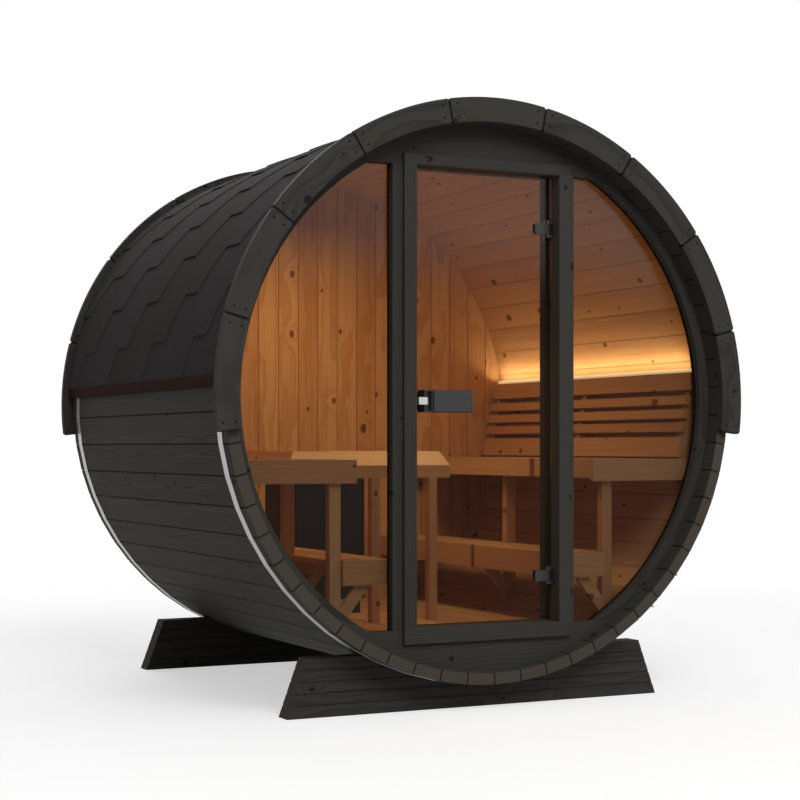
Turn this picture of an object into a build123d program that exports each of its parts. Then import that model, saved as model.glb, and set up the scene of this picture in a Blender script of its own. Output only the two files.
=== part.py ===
from build123d import *
from math import asin, atan2, ceil, cos, degrees, pi, radians, sin, sqrt, tan
import os

# Barrel sauna on two cradles, in millimetres, +X to the right of someone who faces the door,
# +Y from the door to the rear wall, +Z up. The origin is the centre of the footprint on the ground.

# Barrel of staves
barrel_length = 1830.0
barrel_radius = 1040.0
ground_clearance = 90.0
stave_count = 58
stave_thickness = 42.0
stave_gap = 0.4
bead_rise = 3.0
bead_shoulder = 8.5
stave_chamfer = 3.5
croze_depth = 8.0
croze_clearance = 0.3

# Steel bands round the staves
band_width = 42.0
band_thickness = 2.0
band_inset = 75.0
band_fit = 0.1
band_lug_angle = -43.0
band_lug_height = 38.0
band_lug_thickness = 5.0
band_lug_gap = 150.0
band_bolt_radius = 4.0
band_bolt_overhang = 14.0

# Curved fascia boards on both stave ends
fascia_thickness = 28.0
fascia_rise = 43.0
fascia_width = 88.0
fascia_count = 9
fascia_step = 21.53
fascia_joint = 1.0
fascia_corner = 8.0

# Roofing
roof_underlay_thickness = 10.0
shingle_thickness = 8.0
eave_angle = 3.8
eave_batten_width = 40.0
roof_fit = 0.3

# Front wall: frame members with two fixed panes and a doorway
wall_inset = 68.0
wall_thickness = 44.0
ring_width = 39.0
pane_half_height = 836.0
wall_post_width = 44.0
pane_thickness = 8.0
pane_recess = 28.0
pane_edge_cover = 8.0
pane_fit = 0.3

# Doorway
doorway_centre_x = 9.0
doorway_width = 596.0
doorway_bottom = 300.0
doorway_height = 1665.0
jamb_thickness = 28.0
jamb_depth = 126.0
casing_thickness = 16.0
casing_stile_width = 50.0
casing_head_width = 38.0
casing_sill_width = 54.0

# Glass door, its hinges and its handle
door_gap = 6.0
door_glass_thickness = 8.0
door_glass_recess = 33.0
door_corner = 4.0
hinge_offset = 19.0
lower_hinge_rise = 171.0
upper_hinge_drop = 197.0
clamp_length = 60.0
clamp_height = 40.0
clamp_plate = 6.0
clamp_corner = 9.0
knuckle_radius = 10.0
pin_radius = 4.0
pin_fit = 0.3
lug_thickness = 11.5
lug_gap = 0.5
bracket_plate = 3.0
bracket_depth = 44.0
hinge_clearance = 5.0
handle_inset = 36.0
handle_case_width = 35.0
handle_grip_length = 163.0
handle_bottom = 1077.0
handle_top = 1158.0
handle_depth = 38.0
handle_grip_depth = 42.0
handle_inner_depth = 30.0
latch_height = 33.0

# Rear wall of upright tongue and groove boards
rear_wall_inset = 91.0
rear_board_count = 21
rear_board_gap = 0.4
tongue_length = 8.0
tongue_thickness = 10.0
tongue_fit = 0.3
board_vee = 3.0

# Floor
floor_top = 267.0
floor_board_thickness = 26.0
floor_board_count = 7
floor_board_gap = 8.0
floor_end_gap = 3.0
bearer_thickness = 60.0
bearer_inset = 190.0
interior_fit = 0.4

# Benches: a full-length upper one on the right, a short one on the left, lower ones on both sides
bench_end_gap = 4.0
bench_board = 21.0
upper_bench_top = 906.0
upper_bench_inner = 497.0
upper_slat_count = 4
upper_slat_width = 90.0
slat_gap = 10.0
upper_rail_height = 52.0
upper_end_height = 84.0
lower_bench_top = 548.0
lower_bench_setback = 25.0
lower_slat_width = 103.0
lower_outer_slat_width = 112.0
lower_rail_height = 70.0
lower_end_height = 90.0
post_inner = 551.0
post_width = 43.0
post_depth = 35.0
post_notch_fit = 0.5
right_post_positions = (-26.0, 715.0)
left_post_positions = (-343.0, 715.0)
short_bench_end = -304.0
cross_height = 60.0
brace_width = 44.0
brace_top_inner = 434.0
brace_slope = 52.0

# Backrest on the right with a light strip above it
backrest_slats = (80.0, 36.5, 36.5, 36.5, 70.0)
backrest_gaps = (22.0, 17.0, 19.0, 22.0)
backrest_slat_thickness = 20.0
backrest_foot_x = 890.0
backrest_foot_rise = 7.0
backrest_lean = 11.3
backrest_end_gap = 12.0
backrest_batten = 30.0
light_height = 14.0
light_depth = 11.0
light_rise = 3.0

# Heater and its guard
heater_centre_x = -194.0
heater_width = 320.0
heater_depth = 330.0
heater_top = 860.0
heater_front = 104.0
heater_foot_height = 60.0
heater_wall = 12.0
heater_tray_depth = 150.0
heater_corner = 18.0
guard_front = -299.0
guard_left = -549.0
guard_right = 145.0
guard_post_width = 35.0
guard_post_depth = 35.0
guard_post_positions = (-182.0, 70.0)
guard_rail_top = 880.0
guard_rail_height = 50.0
guard_rail_thickness = 21.0
guard_board_width = 63.0
guard_board_thickness = 21.0
guard_board_tilt = 60.0
guard_wall_fit = 0.3

# Cradles
cradle_inset = 103.0
cradle_thickness = 79.0
cradle_plank_count = 5
cradle_plank_height = 41.6
cradle_plank_gap = 0.3
cradle_bottom_half = 771.0
cradle_top_half = 694.0
cradle_vee = 4.0
cradle_fit = 0.1

# Worked out from the sizes above
axis_height = barrel_radius + ground_clearance
front_end = -barrel_length / 2
rear_end = barrel_length / 2
half_step = pi / stave_count
outer_flat = barrel_radius * cos(half_step)
fascia_outer_radius = barrel_radius + fascia_rise
inner_flat = outer_flat - stave_thickness
wall_front = front_end + wall_inset
wall_back = wall_front + wall_thickness
rear_wall_back = rear_end - rear_wall_inset
rear_wall_front = rear_wall_back - wall_thickness
wall_radius = inner_flat + croze_depth - croze_clearance
ring_inner = inner_flat - ring_width
pane_front = wall_front + pane_recess
doorway_left = doorway_centre_x - doorway_width / 2
doorway_right = doorway_centre_x + doorway_width / 2
doorway_top = doorway_bottom + doorway_height
jamb_left = doorway_left - jamb_thickness
jamb_right = doorway_right + jamb_thickness
pane_inner_edge = jamb_right + wall_post_width
lower_bench_inner = jamb_right + lower_bench_setback
casing_front = wall_front - casing_thickness
handle_left = doorway_left + handle_inset
handle_grip_left = handle_left + handle_case_width
handle_right = handle_grip_left + handle_grip_length
glass_front = wall_front + door_glass_recess
glass_back = glass_front + door_glass_thickness
hinge_x = doorway_right - hinge_offset
hinge_heights = (doorway_bottom + lower_hinge_rise, doorway_top - upper_hinge_drop)
hinge_y = (glass_front + glass_back) / 2
underlay_inner = outer_flat + band_fit + band_thickness + roof_fit
underlay_outer = underlay_inner + roof_underlay_thickness
shingle_outer = underlay_outer + shingle_thickness
room_radius = inner_flat - interior_fit
room_front = wall_back + bench_end_gap
room_rear = rear_wall_front - bench_end_gap

axis_line = Axis((0, 0, axis_height), (0, -1, 0))


def block(x0, x1, y0, y1, z0, z1):
    """A plain board between two corners."""
    return Pos((x0 + x1) / 2, (y0 + y1) / 2, (z0 + z1) / 2) * Box(x1 - x0, y1 - y0, z1 - z0)


def along_barrel(face, y0, y1):
    """Extrude a face drawn in the cross-section (x, height over the axis) from y0 to y1."""
    section = Plane(origin=(0, y1, axis_height), x_dir=(1, 0, 0), z_dir=(0, -1, 0))
    return extrude(section * face, amount=y1 - y0, dir=(0, -1, 0))


def disc(radius, y0, y1):
    """A solid round the barrel's axis."""
    return along_barrel(Circle(radius).face(), y0, y1)


def faceted_disc(flat, y0, y1):
    """A many-sided disc whose sides lie along the staves, from the distance of its sides."""
    sides = RegularPolygon(flat, stave_count, major_radius=False, rotation=180 / stave_count)
    return along_barrel(sides.face(), y0, y1)


def faceted_tube(outer, inner, y0, y1):
    """A many-sided ring whose sides lie along the staves."""
    return faceted_disc(outer, y0, y1) - faceted_disc(inner, y0 - 1, y1 + 1)


def faceted_sector(inner, outer, start, end, y0, y1):
    """Part of a many-sided ring between two angles in degrees."""
    corners = [polar(4 * barrel_radius, angle) for angle in (start, (start + end) / 2, end)]
    wedge = along_barrel(outline([(0, 0)] + corners), y0 - 1, y1 + 1)
    return faceted_tube(outer, inner, y0, y1) & wedge


def polar(radius, angle):
    """A point of the cross-section from its radius and its angle in degrees."""
    return (radius * cos(radians(angle)), radius * sin(radians(angle)))


def ring_sector(inner, outer, start, end):
    """A face between two radii and two angles in degrees."""
    middle = (start + end) / 2
    return make_face(
        [
            ThreePointArc(polar(outer, start), polar(outer, middle), polar(outer, end)),
            Line(polar(outer, end), polar(inner, end)),
            ThreePointArc(polar(inner, end), polar(inner, middle), polar(inner, start)),
            Line(polar(inner, start), polar(outer, start)),
        ]
    )


def outline(points):
    """A face with straight edges."""
    return make_face(Polyline(*points, close=True))


def mirrored(shape):
    """The same piece on the other side of the barrel."""
    return shape.mirror(Plane.YZ)


def stave_profile():
    """Section of one stave that points along +X: a bead on one edge and a cove on the other."""
    inner_corner = inner_flat / cos(half_step)
    bead_start = inner_corner + bead_shoulder
    bead_end = barrel_radius - stave_chamfer
    bead_middle = (bead_start + bead_end) / 2

    def edge_point(distance, side, shift):
        along = (cos(half_step), side * sin(half_step))
        normal = (-sin(half_step), cos(half_step))
        if side < 0:
            normal = (sin(half_step), cos(half_step))
        return (
            distance * along[0] + shift * normal[0],
            distance * along[1] + shift * normal[1],
        )

    half_gap = stave_gap / 2
    outer_half = outer_flat * tan(half_step) - stave_chamfer
    bead_outer = edge_point(bead_end, 1, -half_gap)
    bead_top = edge_point(bead_middle, 1, bead_rise - half_gap)
    bead_inner = edge_point(bead_start, 1, -half_gap)
    bead_foot = edge_point(inner_corner, 1, -half_gap)
    cove_outer = edge_point(bead_end, -1, half_gap)
    cove_top = edge_point(bead_middle, -1, bead_rise + half_gap)
    cove_inner = edge_point(bead_start, -1, half_gap)
    cove_foot = edge_point(inner_corner, -1, half_gap)
    return make_face(
        [
            Line(cove_outer, (outer_flat, -outer_half)),
            Line((outer_flat, -outer_half), (outer_flat, outer_half)),
            Line((outer_flat, outer_half), bead_outer),
            ThreePointArc(bead_outer, bead_top, bead_inner),
            Line(bead_inner, bead_foot),
            Line(bead_foot, cove_foot),
            Line(cove_foot, cove_inner),
            ThreePointArc(cove_inner, cove_top, cove_outer),
        ]
    )


def make_staves():
    """All the staves, in groups named after their place round the barrel."""
    stave = along_barrel(stave_profile(), front_end, rear_end)
    for y0, y1 in ((wall_front, wall_back), (rear_wall_front, rear_wall_back)):
        stave -= block(
            inner_flat - croze_depth,
            inner_flat + croze_depth,
            y0 - croze_clearance,
            y1 + croze_clearance,
            axis_height - barrel_radius / 2,
            axis_height + barrel_radius / 2,
        )
    step = 360 / stave_count
    per_side = stave_count // 2
    names = ("bottom", "lower", "side", "upper", "top")
    group_size = ceil(per_side / len(names))
    groups = {}
    for side, start in (("right", 0), ("left", per_side)):
        for place in range(per_side):
            turn = -90 + (start + place + 0.5) * step
            level = place if side == "right" else per_side - 1 - place
            name = f"staves_{names[level // group_size]}_{side}"
            groups.setdefault(name, []).append(stave.rotate(axis_line, turn))
    return groups


def make_band(middle):
    """A steel band with two turned-up ears that a bolt draws together."""
    inner = outer_flat + band_fit
    outer = inner + band_thickness
    y0 = middle - band_width / 2
    y1 = middle + band_width / 2
    gap_angle = degrees(band_lug_gap / barrel_radius)
    opening = outline(
        [
            (0, 0),
            polar(2 * barrel_radius, band_lug_angle - gap_angle / 2),
            polar(2 * barrel_radius, band_lug_angle + gap_angle / 2),
        ]
    )
    band = faceted_tube(outer, inner, y0, y1) - along_barrel(opening, y0 - 1, y1 + 1)
    for side in (-1, 1):
        low, high = sorted((0, side * band_lug_thickness))
        lug = block(
            barrel_radius + band_fit,
            outer + band_lug_height,
            y0,
            y1,
            axis_height + low,
            axis_height + high,
        )
        band += lug.rotate(axis_line, band_lug_angle + side * gap_angle / 2)
    bolt_length = band_lug_gap + 2 * (band_lug_thickness + band_bolt_overhang)
    bolt_distance = outer + band_lug_height * 0.7
    rod = extrude(RegularPolygon(band_bolt_radius, 6), amount=bolt_length / 2, both=True)
    bolt = Pos(bolt_distance, middle, axis_height) * rod
    return band + bolt.rotate(axis_line, band_lug_angle)


def make_fascia(y0, y1):
    """Curved boards that cover the stave ends and stand over the roofing."""
    inner = fascia_outer_radius - fascia_width
    gap_angle = degrees(fascia_joint / fascia_outer_radius)
    first = 90 - fascia_count * fascia_step / 2
    boards = []
    for place in range(fascia_count):
        start = first + place * fascia_step + gap_angle / 2
        end = first + (place + 1) * fascia_step - gap_angle / 2
        board = along_barrel(ring_sector(inner, fascia_outer_radius, start, end), y0, y1)
        boards.append(chamfer(board.edges().filter_by(Axis.Y), fascia_corner))
    return boards


def roof_shell(inner, outer):
    """A curved shell from eave to eave over the staves."""
    return faceted_sector(inner, outer, eave_angle, 180 - eave_angle, front_end, rear_end)


def make_eave_battens():
    """A batten under each lower edge of the roofing."""
    lower = eave_angle - degrees(eave_batten_width / barrel_radius)
    outer = shingle_outer - roof_fit
    batten = faceted_sector(underlay_inner, outer, lower, eave_angle, front_end, rear_end)
    return [mirrored(batten), batten]


def make_pane_face(grow):
    """Outline of the right window, grown past the edges of its opening by the given amount."""
    height = pane_half_height + grow
    radius = ring_inner + grow
    inner = pane_inner_edge - grow
    corner_x = sqrt(radius**2 - height**2)
    return make_face(
        [
            Line((inner, -height), (corner_x, -height)),
            ThreePointArc((corner_x, -height), (radius, 0), (corner_x, height)),
            Line((corner_x, height), (inner, height)),
            Line((inner, height), (inner, -height)),
        ]
    )


def make_front_wall():
    """Curved rims, arched boards, posts and panes of the front wall."""
    groove = along_barrel(
        make_pane_face(pane_edge_cover + pane_fit),
        pane_front - pane_fit,
        pane_front + pane_thickness + pane_fit,
    )
    grooves = groove + mirrored(groove)
    wall = faceted_disc(wall_radius, wall_front, wall_back)
    low = axis_height - pane_half_height
    high = axis_height + pane_half_height
    reach = 2 * barrel_radius
    margin = 5
    middle_band = block(-reach, reach, wall_front - margin, wall_back + margin, low, high)
    bore = disc(ring_inner, wall_front - margin, wall_back + margin)
    rims = (wall & middle_band) - bore - grooves
    side = block(0, reach, wall_front - margin, wall_back + margin, low, high)
    rim_right = rims & side
    door_hole = block(
        jamb_left,
        jamb_right,
        wall_front - margin,
        wall_back + margin,
        doorway_bottom - jamb_thickness,
        doorway_top + jamb_thickness,
    )
    upper = block(-reach, reach, wall_front - margin, wall_back + margin, high, high + reach)
    lower = block(-reach, reach, wall_front - margin, wall_back + margin, low - reach, low)
    arch_top = (wall & upper) - door_hole - grooves
    arch_bottom = (wall & lower) - door_hole - grooves
    post_left = block(-pane_inner_edge, jamb_left, wall_front, wall_back, low, high) - grooves
    post_right = block(jamb_right, pane_inner_edge, wall_front, wall_back, low, high) - grooves
    pane = along_barrel(make_pane_face(pane_edge_cover), pane_front, pane_front + pane_thickness)
    return {
        "wall_rims": [mirrored(rim_right), rim_right],
        "wall_arch_boards": [arch_top, arch_bottom],
        "wall_posts": [post_left, post_right],
        "windows": [mirrored(pane), pane],
    }


def make_door_frame():
    """Jambs, head and threshold in the doorway, and the casing boards on the wall."""
    back = wall_front + jamb_depth
    low = doorway_bottom
    high = doorway_top
    casing_low = low - casing_sill_width
    casing_high = high + casing_head_width
    left = doorway_left - casing_stile_width
    right = doorway_right + casing_stile_width
    outer_low = low - jamb_thickness
    outer_high = high + jamb_thickness
    stile_low = low
    stile_high = high
    return {
        "door_jambs": [
            block(jamb_left, doorway_left, wall_front, back, outer_low, outer_high),
            block(doorway_right, jamb_right, wall_front, back, outer_low, outer_high),
        ],
        "door_head_and_threshold": [
            block(doorway_left, doorway_right, wall_front, back, outer_low, low),
            block(doorway_left, doorway_right, wall_front, back, high, outer_high),
        ],
        "casing_stiles": [
            block(left, doorway_left, casing_front, wall_front, stile_low, stile_high),
            block(doorway_right, right, casing_front, wall_front, stile_low, stile_high),
        ],
        "casing_rails": [
            block(left, right, casing_front, wall_front, casing_low, low),
            block(left, right, casing_front, wall_front, high, casing_high),
        ],
    }


def make_door():
    """Glass door with its hinge clamps and handles, and the fixed hinge brackets."""
    left = doorway_left + door_gap
    right = doorway_right - door_gap
    low = doorway_bottom + door_gap
    high = doorway_top - door_gap
    glass = block(left, right, glass_front, glass_back, low, high)
    glass = fillet(glass.edges().filter_by(Axis.Y), door_corner)
    lug_half = clamp_height / 2 + lug_gap + lug_thickness
    notch_left = hinge_x - knuckle_radius - hinge_clearance
    clamp_left = hinge_x - clamp_length
    clamps = []
    brackets = []
    for height in hinge_heights:
        notch_low = height - lug_half - hinge_clearance
        notch_high = height + lug_half + hinge_clearance
        glass -= block(notch_left, right + 1, glass_front - 1, glass_back + 1, notch_low, notch_high)
        clamp_low = height - clamp_height / 2
        clamp_high = height + clamp_height / 2
        for y0 in (glass_front - clamp_plate, glass_back):
            plate = block(clamp_left, hinge_x, y0, y0 + clamp_plate, clamp_low, clamp_high)
            ends = plate.edges().filter_by(Axis.Y).sort_by(Axis.X)[:2]
            plate = fillet(ends, clamp_corner)
            clamps.append((height, plate))
        core = block(notch_left, hinge_x, glass_front, glass_back, clamp_low, clamp_high)
        knuckle = Pos(hinge_x, hinge_y, height) * Cylinder(knuckle_radius, clamp_height)
        bore = Pos(hinge_x, hinge_y, height) * Cylinder(pin_radius + pin_fit, clamp_height + 2)
        plates = [plate for place, plate in clamps if place == height]
        clamps = [entry for entry in clamps if entry[0] != height]
        clamps.append((height, plates[0] + plates[1] + core + knuckle - bore))
        plate = block(
            doorway_right - bracket_plate,
            doorway_right,
            hinge_y - bracket_depth / 2,
            hinge_y + bracket_depth / 2,
            height - lug_half,
            height + lug_half,
        )
        bracket = plate + Pos(hinge_x, hinge_y, height) * Cylinder(pin_radius, 2 * lug_half)
        for side in (-1, 1):
            middle = height + side * (lug_half - lug_thickness / 2)
            lug = Pos(hinge_x, hinge_y, middle) * Cylinder(knuckle_radius, lug_thickness)
            arm = block(
                hinge_x,
                doorway_right - bracket_plate,
                hinge_y - knuckle_radius,
                hinge_y + knuckle_radius,
                middle - lug_thickness / 2,
                middle + lug_thickness / 2,
            )
            bracket += lug + arm
        brackets.append(bracket)
    case = block(
        handle_left, handle_grip_left, glass_front - handle_depth, glass_front, handle_bottom, handle_top
    )
    grip = block(
        handle_grip_left,
        handle_right,
        glass_front - handle_grip_depth,
        glass_front,
        handle_bottom,
        handle_top,
    )
    grip = fillet(grip.edges().filter_by(Axis.Y).sort_by(Axis.X)[-2:], clamp_corner)
    outside = case + grip
    inside = block(
        handle_left,
        handle_right,
        glass_back,
        glass_back + handle_inner_depth,
        handle_bottom,
        handle_top,
    )
    inside = fillet(inside.edges().filter_by(Axis.Y), clamp_corner)
    latch_middle = (handle_bottom + handle_top) / 2
    latch = block(
        doorway_left + door_gap,
        handle_left,
        glass_front - handle_depth / 2,
        glass_front - 1,
        latch_middle - latch_height / 2,
        latch_middle + latch_height / 2,
    )
    return {
        "door_glass": [glass],
        "hinge_clamps": [shape for _, shape in clamps],
        "hinge_brackets": brackets,
        "door_handle_outside": [outside],
        "door_handle_inside": [inside],
        "door_latch": [latch],
    }


def make_rear_wall():
    """Upright boards with tongues and grooves, cut to the flats of the staves."""
    pitch = 2 * wall_radius / rear_board_count
    whole_wall = faceted_disc(wall_radius, rear_wall_front, rear_wall_back)
    middle = (rear_wall_front + rear_wall_back) / 2
    boards = []
    for place in range(rear_board_count):
        x0 = -wall_radius + place * pitch + rear_board_gap / 2
        x1 = x0 + pitch - rear_board_gap
        tongue = tongue_thickness / 2
        groove = tongue + tongue_fit
        groove_depth = tongue_length + tongue_fit
        profile = outline(
            [
                (x0 + board_vee, rear_wall_front),
                (x1 - board_vee, rear_wall_front),
                (x1, rear_wall_front + board_vee),
                (x1, middle - tongue),
                (x1 + tongue_length, middle - tongue),
                (x1 + tongue_length, middle + tongue),
                (x1, middle + tongue),
                (x1, rear_wall_back),
                (x0, rear_wall_back),
                (x0, middle + groove),
                (x0 + groove_depth, middle + groove),
                (x0 + groove_depth, middle - groove),
                (x0, middle - groove),
                (x0, rear_wall_front + board_vee),
            ]
        )
        board = extrude(profile, amount=2 * axis_height, dir=(0, 0, 1))
        boards.append((board & whole_wall).solids().sort_by(SortBy.VOLUME)[-1])
    return boards


def make_floor():
    """Floor boards that run from wall to wall on shaped bearers."""
    half_width = sqrt(room_radius**2 - (axis_height - floor_top + floor_board_thickness) ** 2)
    board_width = (2 * half_width - (floor_board_count - 1) * floor_board_gap) / floor_board_count
    y0 = wall_back + floor_end_gap
    y1 = rear_wall_front - floor_end_gap
    boards = []
    for place in range(floor_board_count):
        x0 = -half_width + place * (board_width + floor_board_gap)
        boards.append(
            block(x0, x0 + board_width, y0, y1, floor_top - floor_board_thickness, floor_top)
        )
    bearer_top = floor_top - floor_board_thickness
    bearers = []
    for middle in (wall_back + bearer_inset, 0, rear_wall_front - bearer_inset):
        start = middle - bearer_thickness / 2
        end = middle + bearer_thickness / 2
        slab = block(-barrel_radius, barrel_radius, start, end, 0, bearer_top)
        bearers.append(slab & faceted_disc(room_radius, start, end))
    return boards, bearers


def make_upper_bench(length_end):
    """Seat slats, inner rail and end board of the right upper bench, up to the given end."""
    seat_front = room_front + bench_board
    under = upper_bench_top - bench_board
    room = faceted_disc(room_radius, room_front - 1, room_rear + 1)
    pieces = []
    for place in range(upper_slat_count):
        x0 = upper_bench_inner + place * (upper_slat_width + slat_gap)
        x1 = x0 + upper_slat_width
        pieces.append(block(x0, x1, seat_front, length_end, under, upper_bench_top))
    x1 = upper_bench_inner + bench_board
    pieces.append(
        block(upper_bench_inner, x1, seat_front, length_end, under - upper_rail_height, under)
    )
    low = upper_bench_top - upper_end_height
    end_board = block(upper_bench_inner, barrel_radius, room_front, seat_front, low, upper_bench_top)
    pieces.append(end_board & room)
    return pieces


def make_lower_bench(post_positions):
    """Seat slats, inner rail and end board of the right lower bench, notched at its posts."""
    seat_front = room_front + bench_board
    under = lower_bench_top - bench_board
    inner = lower_bench_inner
    outer = inner + lower_slat_width + slat_gap
    outer_start = seat_front + post_depth + slat_gap
    outer_slat = block(
        outer, outer + lower_outer_slat_width, outer_start, room_rear, under, lower_bench_top
    )
    for middle in post_positions:
        outer_slat -= block(
            post_inner - post_notch_fit,
            post_inner + post_width + 1,
            middle - post_depth / 2 - post_notch_fit,
            middle + post_depth / 2 + post_notch_fit,
            under - 1,
            lower_bench_top + 1,
        )
    return [
        block(inner, inner + lower_slat_width, seat_front, room_rear, under, lower_bench_top),
        outer_slat,
        block(inner, inner + bench_board, seat_front, room_rear, under - lower_rail_height, under),
        block(
            inner,
            post_inner - post_notch_fit,
            room_front,
            seat_front,
            lower_bench_top - lower_end_height,
            lower_bench_top,
        ),
    ]


def make_brace(top, y0):
    """A diagonal brace from under the lower bench to the foot of a right-hand post."""
    slope = tan(radians(brace_slope))
    drop = brace_width / cos(radians(brace_slope))
    run = post_inner - brace_top_inner
    face = Plane.XZ * outline(
        [
            (brace_top_inner, top),
            (brace_top_inner + drop / slope, top),
            (post_inner, top + drop - run * slope),
            (post_inner, top - run * slope),
        ]
    )
    piece = Pos(0, y0, 0) * extrude(face, amount=bench_board, dir=(0, 1, 0))
    return piece & faceted_disc(room_radius, y0 - 1, y0 + bench_board + 1)


def make_bench_frame(post_positions, upper_end):
    """Posts, cross bearers and braces of the right-hand benches."""
    seat_front = room_front + bench_board
    room = faceted_disc(room_radius, room_front - 1, room_rear + 1)
    upper_under = upper_bench_top - bench_board
    lower_under = lower_bench_top - bench_board
    rail_low = upper_under - upper_rail_height
    post_outer = post_inner + post_width
    pieces = [
        block(post_inner, post_outer, seat_front, seat_front + post_depth, 0, upper_under) & room,
        make_brace(lower_bench_top - lower_end_height, seat_front),
    ]
    cross_inner = lower_bench_inner + bench_board
    cross_low = lower_under - cross_height
    for middle in post_positions:
        y0 = middle - post_depth / 2
        y1 = middle + post_depth / 2
        carries_upper = y1 < upper_end
        top = upper_under if carries_upper else lower_under + bench_board
        pieces.append(block(post_inner, post_outer, y0, y1, 0, top) & room)
        pieces.append(block(cross_inner, post_inner, y0, y0 + bench_board, cross_low, lower_under))
        pieces.append(make_brace(cross_low, y0))
        if carries_upper:
            bearer = block(
                upper_bench_inner + bench_board,
                barrel_radius,
                y1,
                y1 + bench_board,
                rail_low,
                upper_under,
            )
            pieces.append(bearer & room)
    return pieces


def make_backrest():
    """Leaning slats on shaped battens against the right-hand staves."""
    y0 = room_front + backrest_end_gap
    y1 = room_rear
    foot_z = upper_bench_top + backrest_foot_rise
    total = sum(backrest_slats) + sum(backrest_gaps)
    lean = radians(backrest_lean)
    up = (sin(lean), cos(lean))
    out = (cos(lean), -sin(lean))

    def point(along, depth):
        return (
            backrest_foot_x + along * up[0] + depth * out[0],
            foot_z + along * up[1] + depth * out[1] - axis_height,
        )

    slats = []
    start = 0
    for width, gap in zip(backrest_slats, backrest_gaps + (0,)):
        end = start + width
        face = outline(
            [
                point(start, 0),
                point(end, 0),
                point(end, backrest_slat_thickness),
                point(start, backrest_slat_thickness),
            ]
        )
        slats.append(along_barrel(face, y0, y1))
        start = end + gap
    back = backrest_slat_thickness
    deep = barrel_radius
    profile = outline([point(0, back), point(total, back), point(total, deep), point(0, deep)])
    room = faceted_disc(room_radius, y0 - backrest_batten, y1 + backrest_batten)
    over_bearers = upper_bench_top - bench_board + interior_fit
    room &= block(0, barrel_radius, y0, y1, over_bearers, 2 * axis_height)
    battens = []
    for middle in (y0 + backrest_batten, (y0 + y1) / 2, y1 - backrest_batten):
        piece = along_barrel(profile, middle - backrest_batten / 2, middle + backrest_batten / 2)
        battens.append(piece & room)
    top_z = point(total, 0)[1]
    light_low = degrees(asin((top_z + light_rise) / room_radius))
    light_high = light_low + degrees(light_height / room_radius)
    light = along_barrel(
        ring_sector(room_radius - light_depth, room_radius, light_low, light_high), y0, y1
    )
    return slats, battens, light


def make_heater():
    """A floor-standing heater with an open stone tray, on four feet."""
    x0 = heater_centre_x - heater_width / 2
    x1 = heater_centre_x + heater_width / 2
    y1 = heater_front + heater_depth
    low = floor_top + heater_foot_height
    body = block(x0, x1, heater_front, y1, low, heater_top)
    body = fillet(body.edges().filter_by(Axis.Z), heater_corner)
    tray = block(
        x0 + heater_wall,
        x1 - heater_wall,
        heater_front + heater_wall,
        y1 - heater_wall,
        heater_top - heater_tray_depth,
        heater_top + 1,
    )
    body -= tray
    for x in (x0 + 2 * heater_corner, x1 - 2 * heater_corner):
        for y in (heater_front + 2 * heater_corner, y1 - 2 * heater_corner):
            foot = Box(2 * heater_corner, 2 * heater_corner, heater_foot_height)
            body += Pos(x, y, floor_top + heater_foot_height / 2) * foot
    return body


def guard_board_section():
    """Section of a sloping guard board: distance inwards and height."""
    tilt = radians(guard_board_tilt)
    foot = guard_board_thickness / sin(tilt)
    top = (guard_board_width * cos(tilt), guard_rail_top + guard_board_width * sin(tilt))
    inner_top = (
        top[0] + guard_board_thickness * sin(tilt),
        top[1] - guard_board_thickness * cos(tilt),
    )
    return [(0, guard_rail_top), (foot, guard_rail_top), inner_top, top]


def make_guard():
    """A guard round three sides of the heater, with sloping boards that are mitred at the corners."""
    rail_low = guard_rail_top - guard_rail_height
    back = rear_wall_front - guard_wall_fit
    pieces = []
    for x in guard_post_positions:
        pieces.append(
            block(
                x - guard_post_width / 2,
                x + guard_post_width / 2,
                guard_front,
                guard_front + guard_post_depth,
                floor_top,
                rail_low,
            )
        )
    rail_back = guard_front + guard_rail_thickness
    pieces.append(block(guard_left, guard_right, guard_front, rail_back, rail_low, guard_rail_top))
    for x in (guard_left, guard_right - guard_rail_thickness):
        side_end = x + guard_rail_thickness
        pieces.append(block(x, side_end, rail_back, back, rail_low, guard_rail_top))
    section = guard_board_section()
    reach = 2 * guard_board_width
    width = guard_right - guard_left
    front_face = Plane.YZ * outline(section)
    front = Pos(guard_left, guard_front, 0) * extrude(front_face, amount=width, dir=(1, 0, 0))
    corners = [
        (guard_left, guard_front),
        (guard_right, guard_front),
        (guard_right - reach, guard_front + reach),
        (guard_left + reach, guard_front + reach),
    ]
    keep = Pos(0, 0, guard_rail_top - 1) * extrude(outline(corners), amount=reach, dir=(0, 0, 1))
    boards = [front & keep]
    for edge, inwards in ((guard_left, 1), (guard_right, -1)):
        face = Plane.XZ * outline([(edge + inwards * d, z) for d, z in section])
        side = Pos(0, guard_front, 0) * extrude(face, amount=back - guard_front, dir=(0, 1, 0))
        corners = [
            (edge, guard_front),
            (edge + inwards * reach, guard_front + reach),
            (edge + inwards * reach, back + 1),
            (edge, back + 1),
        ]
        plan = extrude(outline(corners), amount=reach, dir=(0, 0, 1))
        boards.append(side & (Pos(0, 0, guard_rail_top - 1) * plan))
    return pieces, boards


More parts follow.
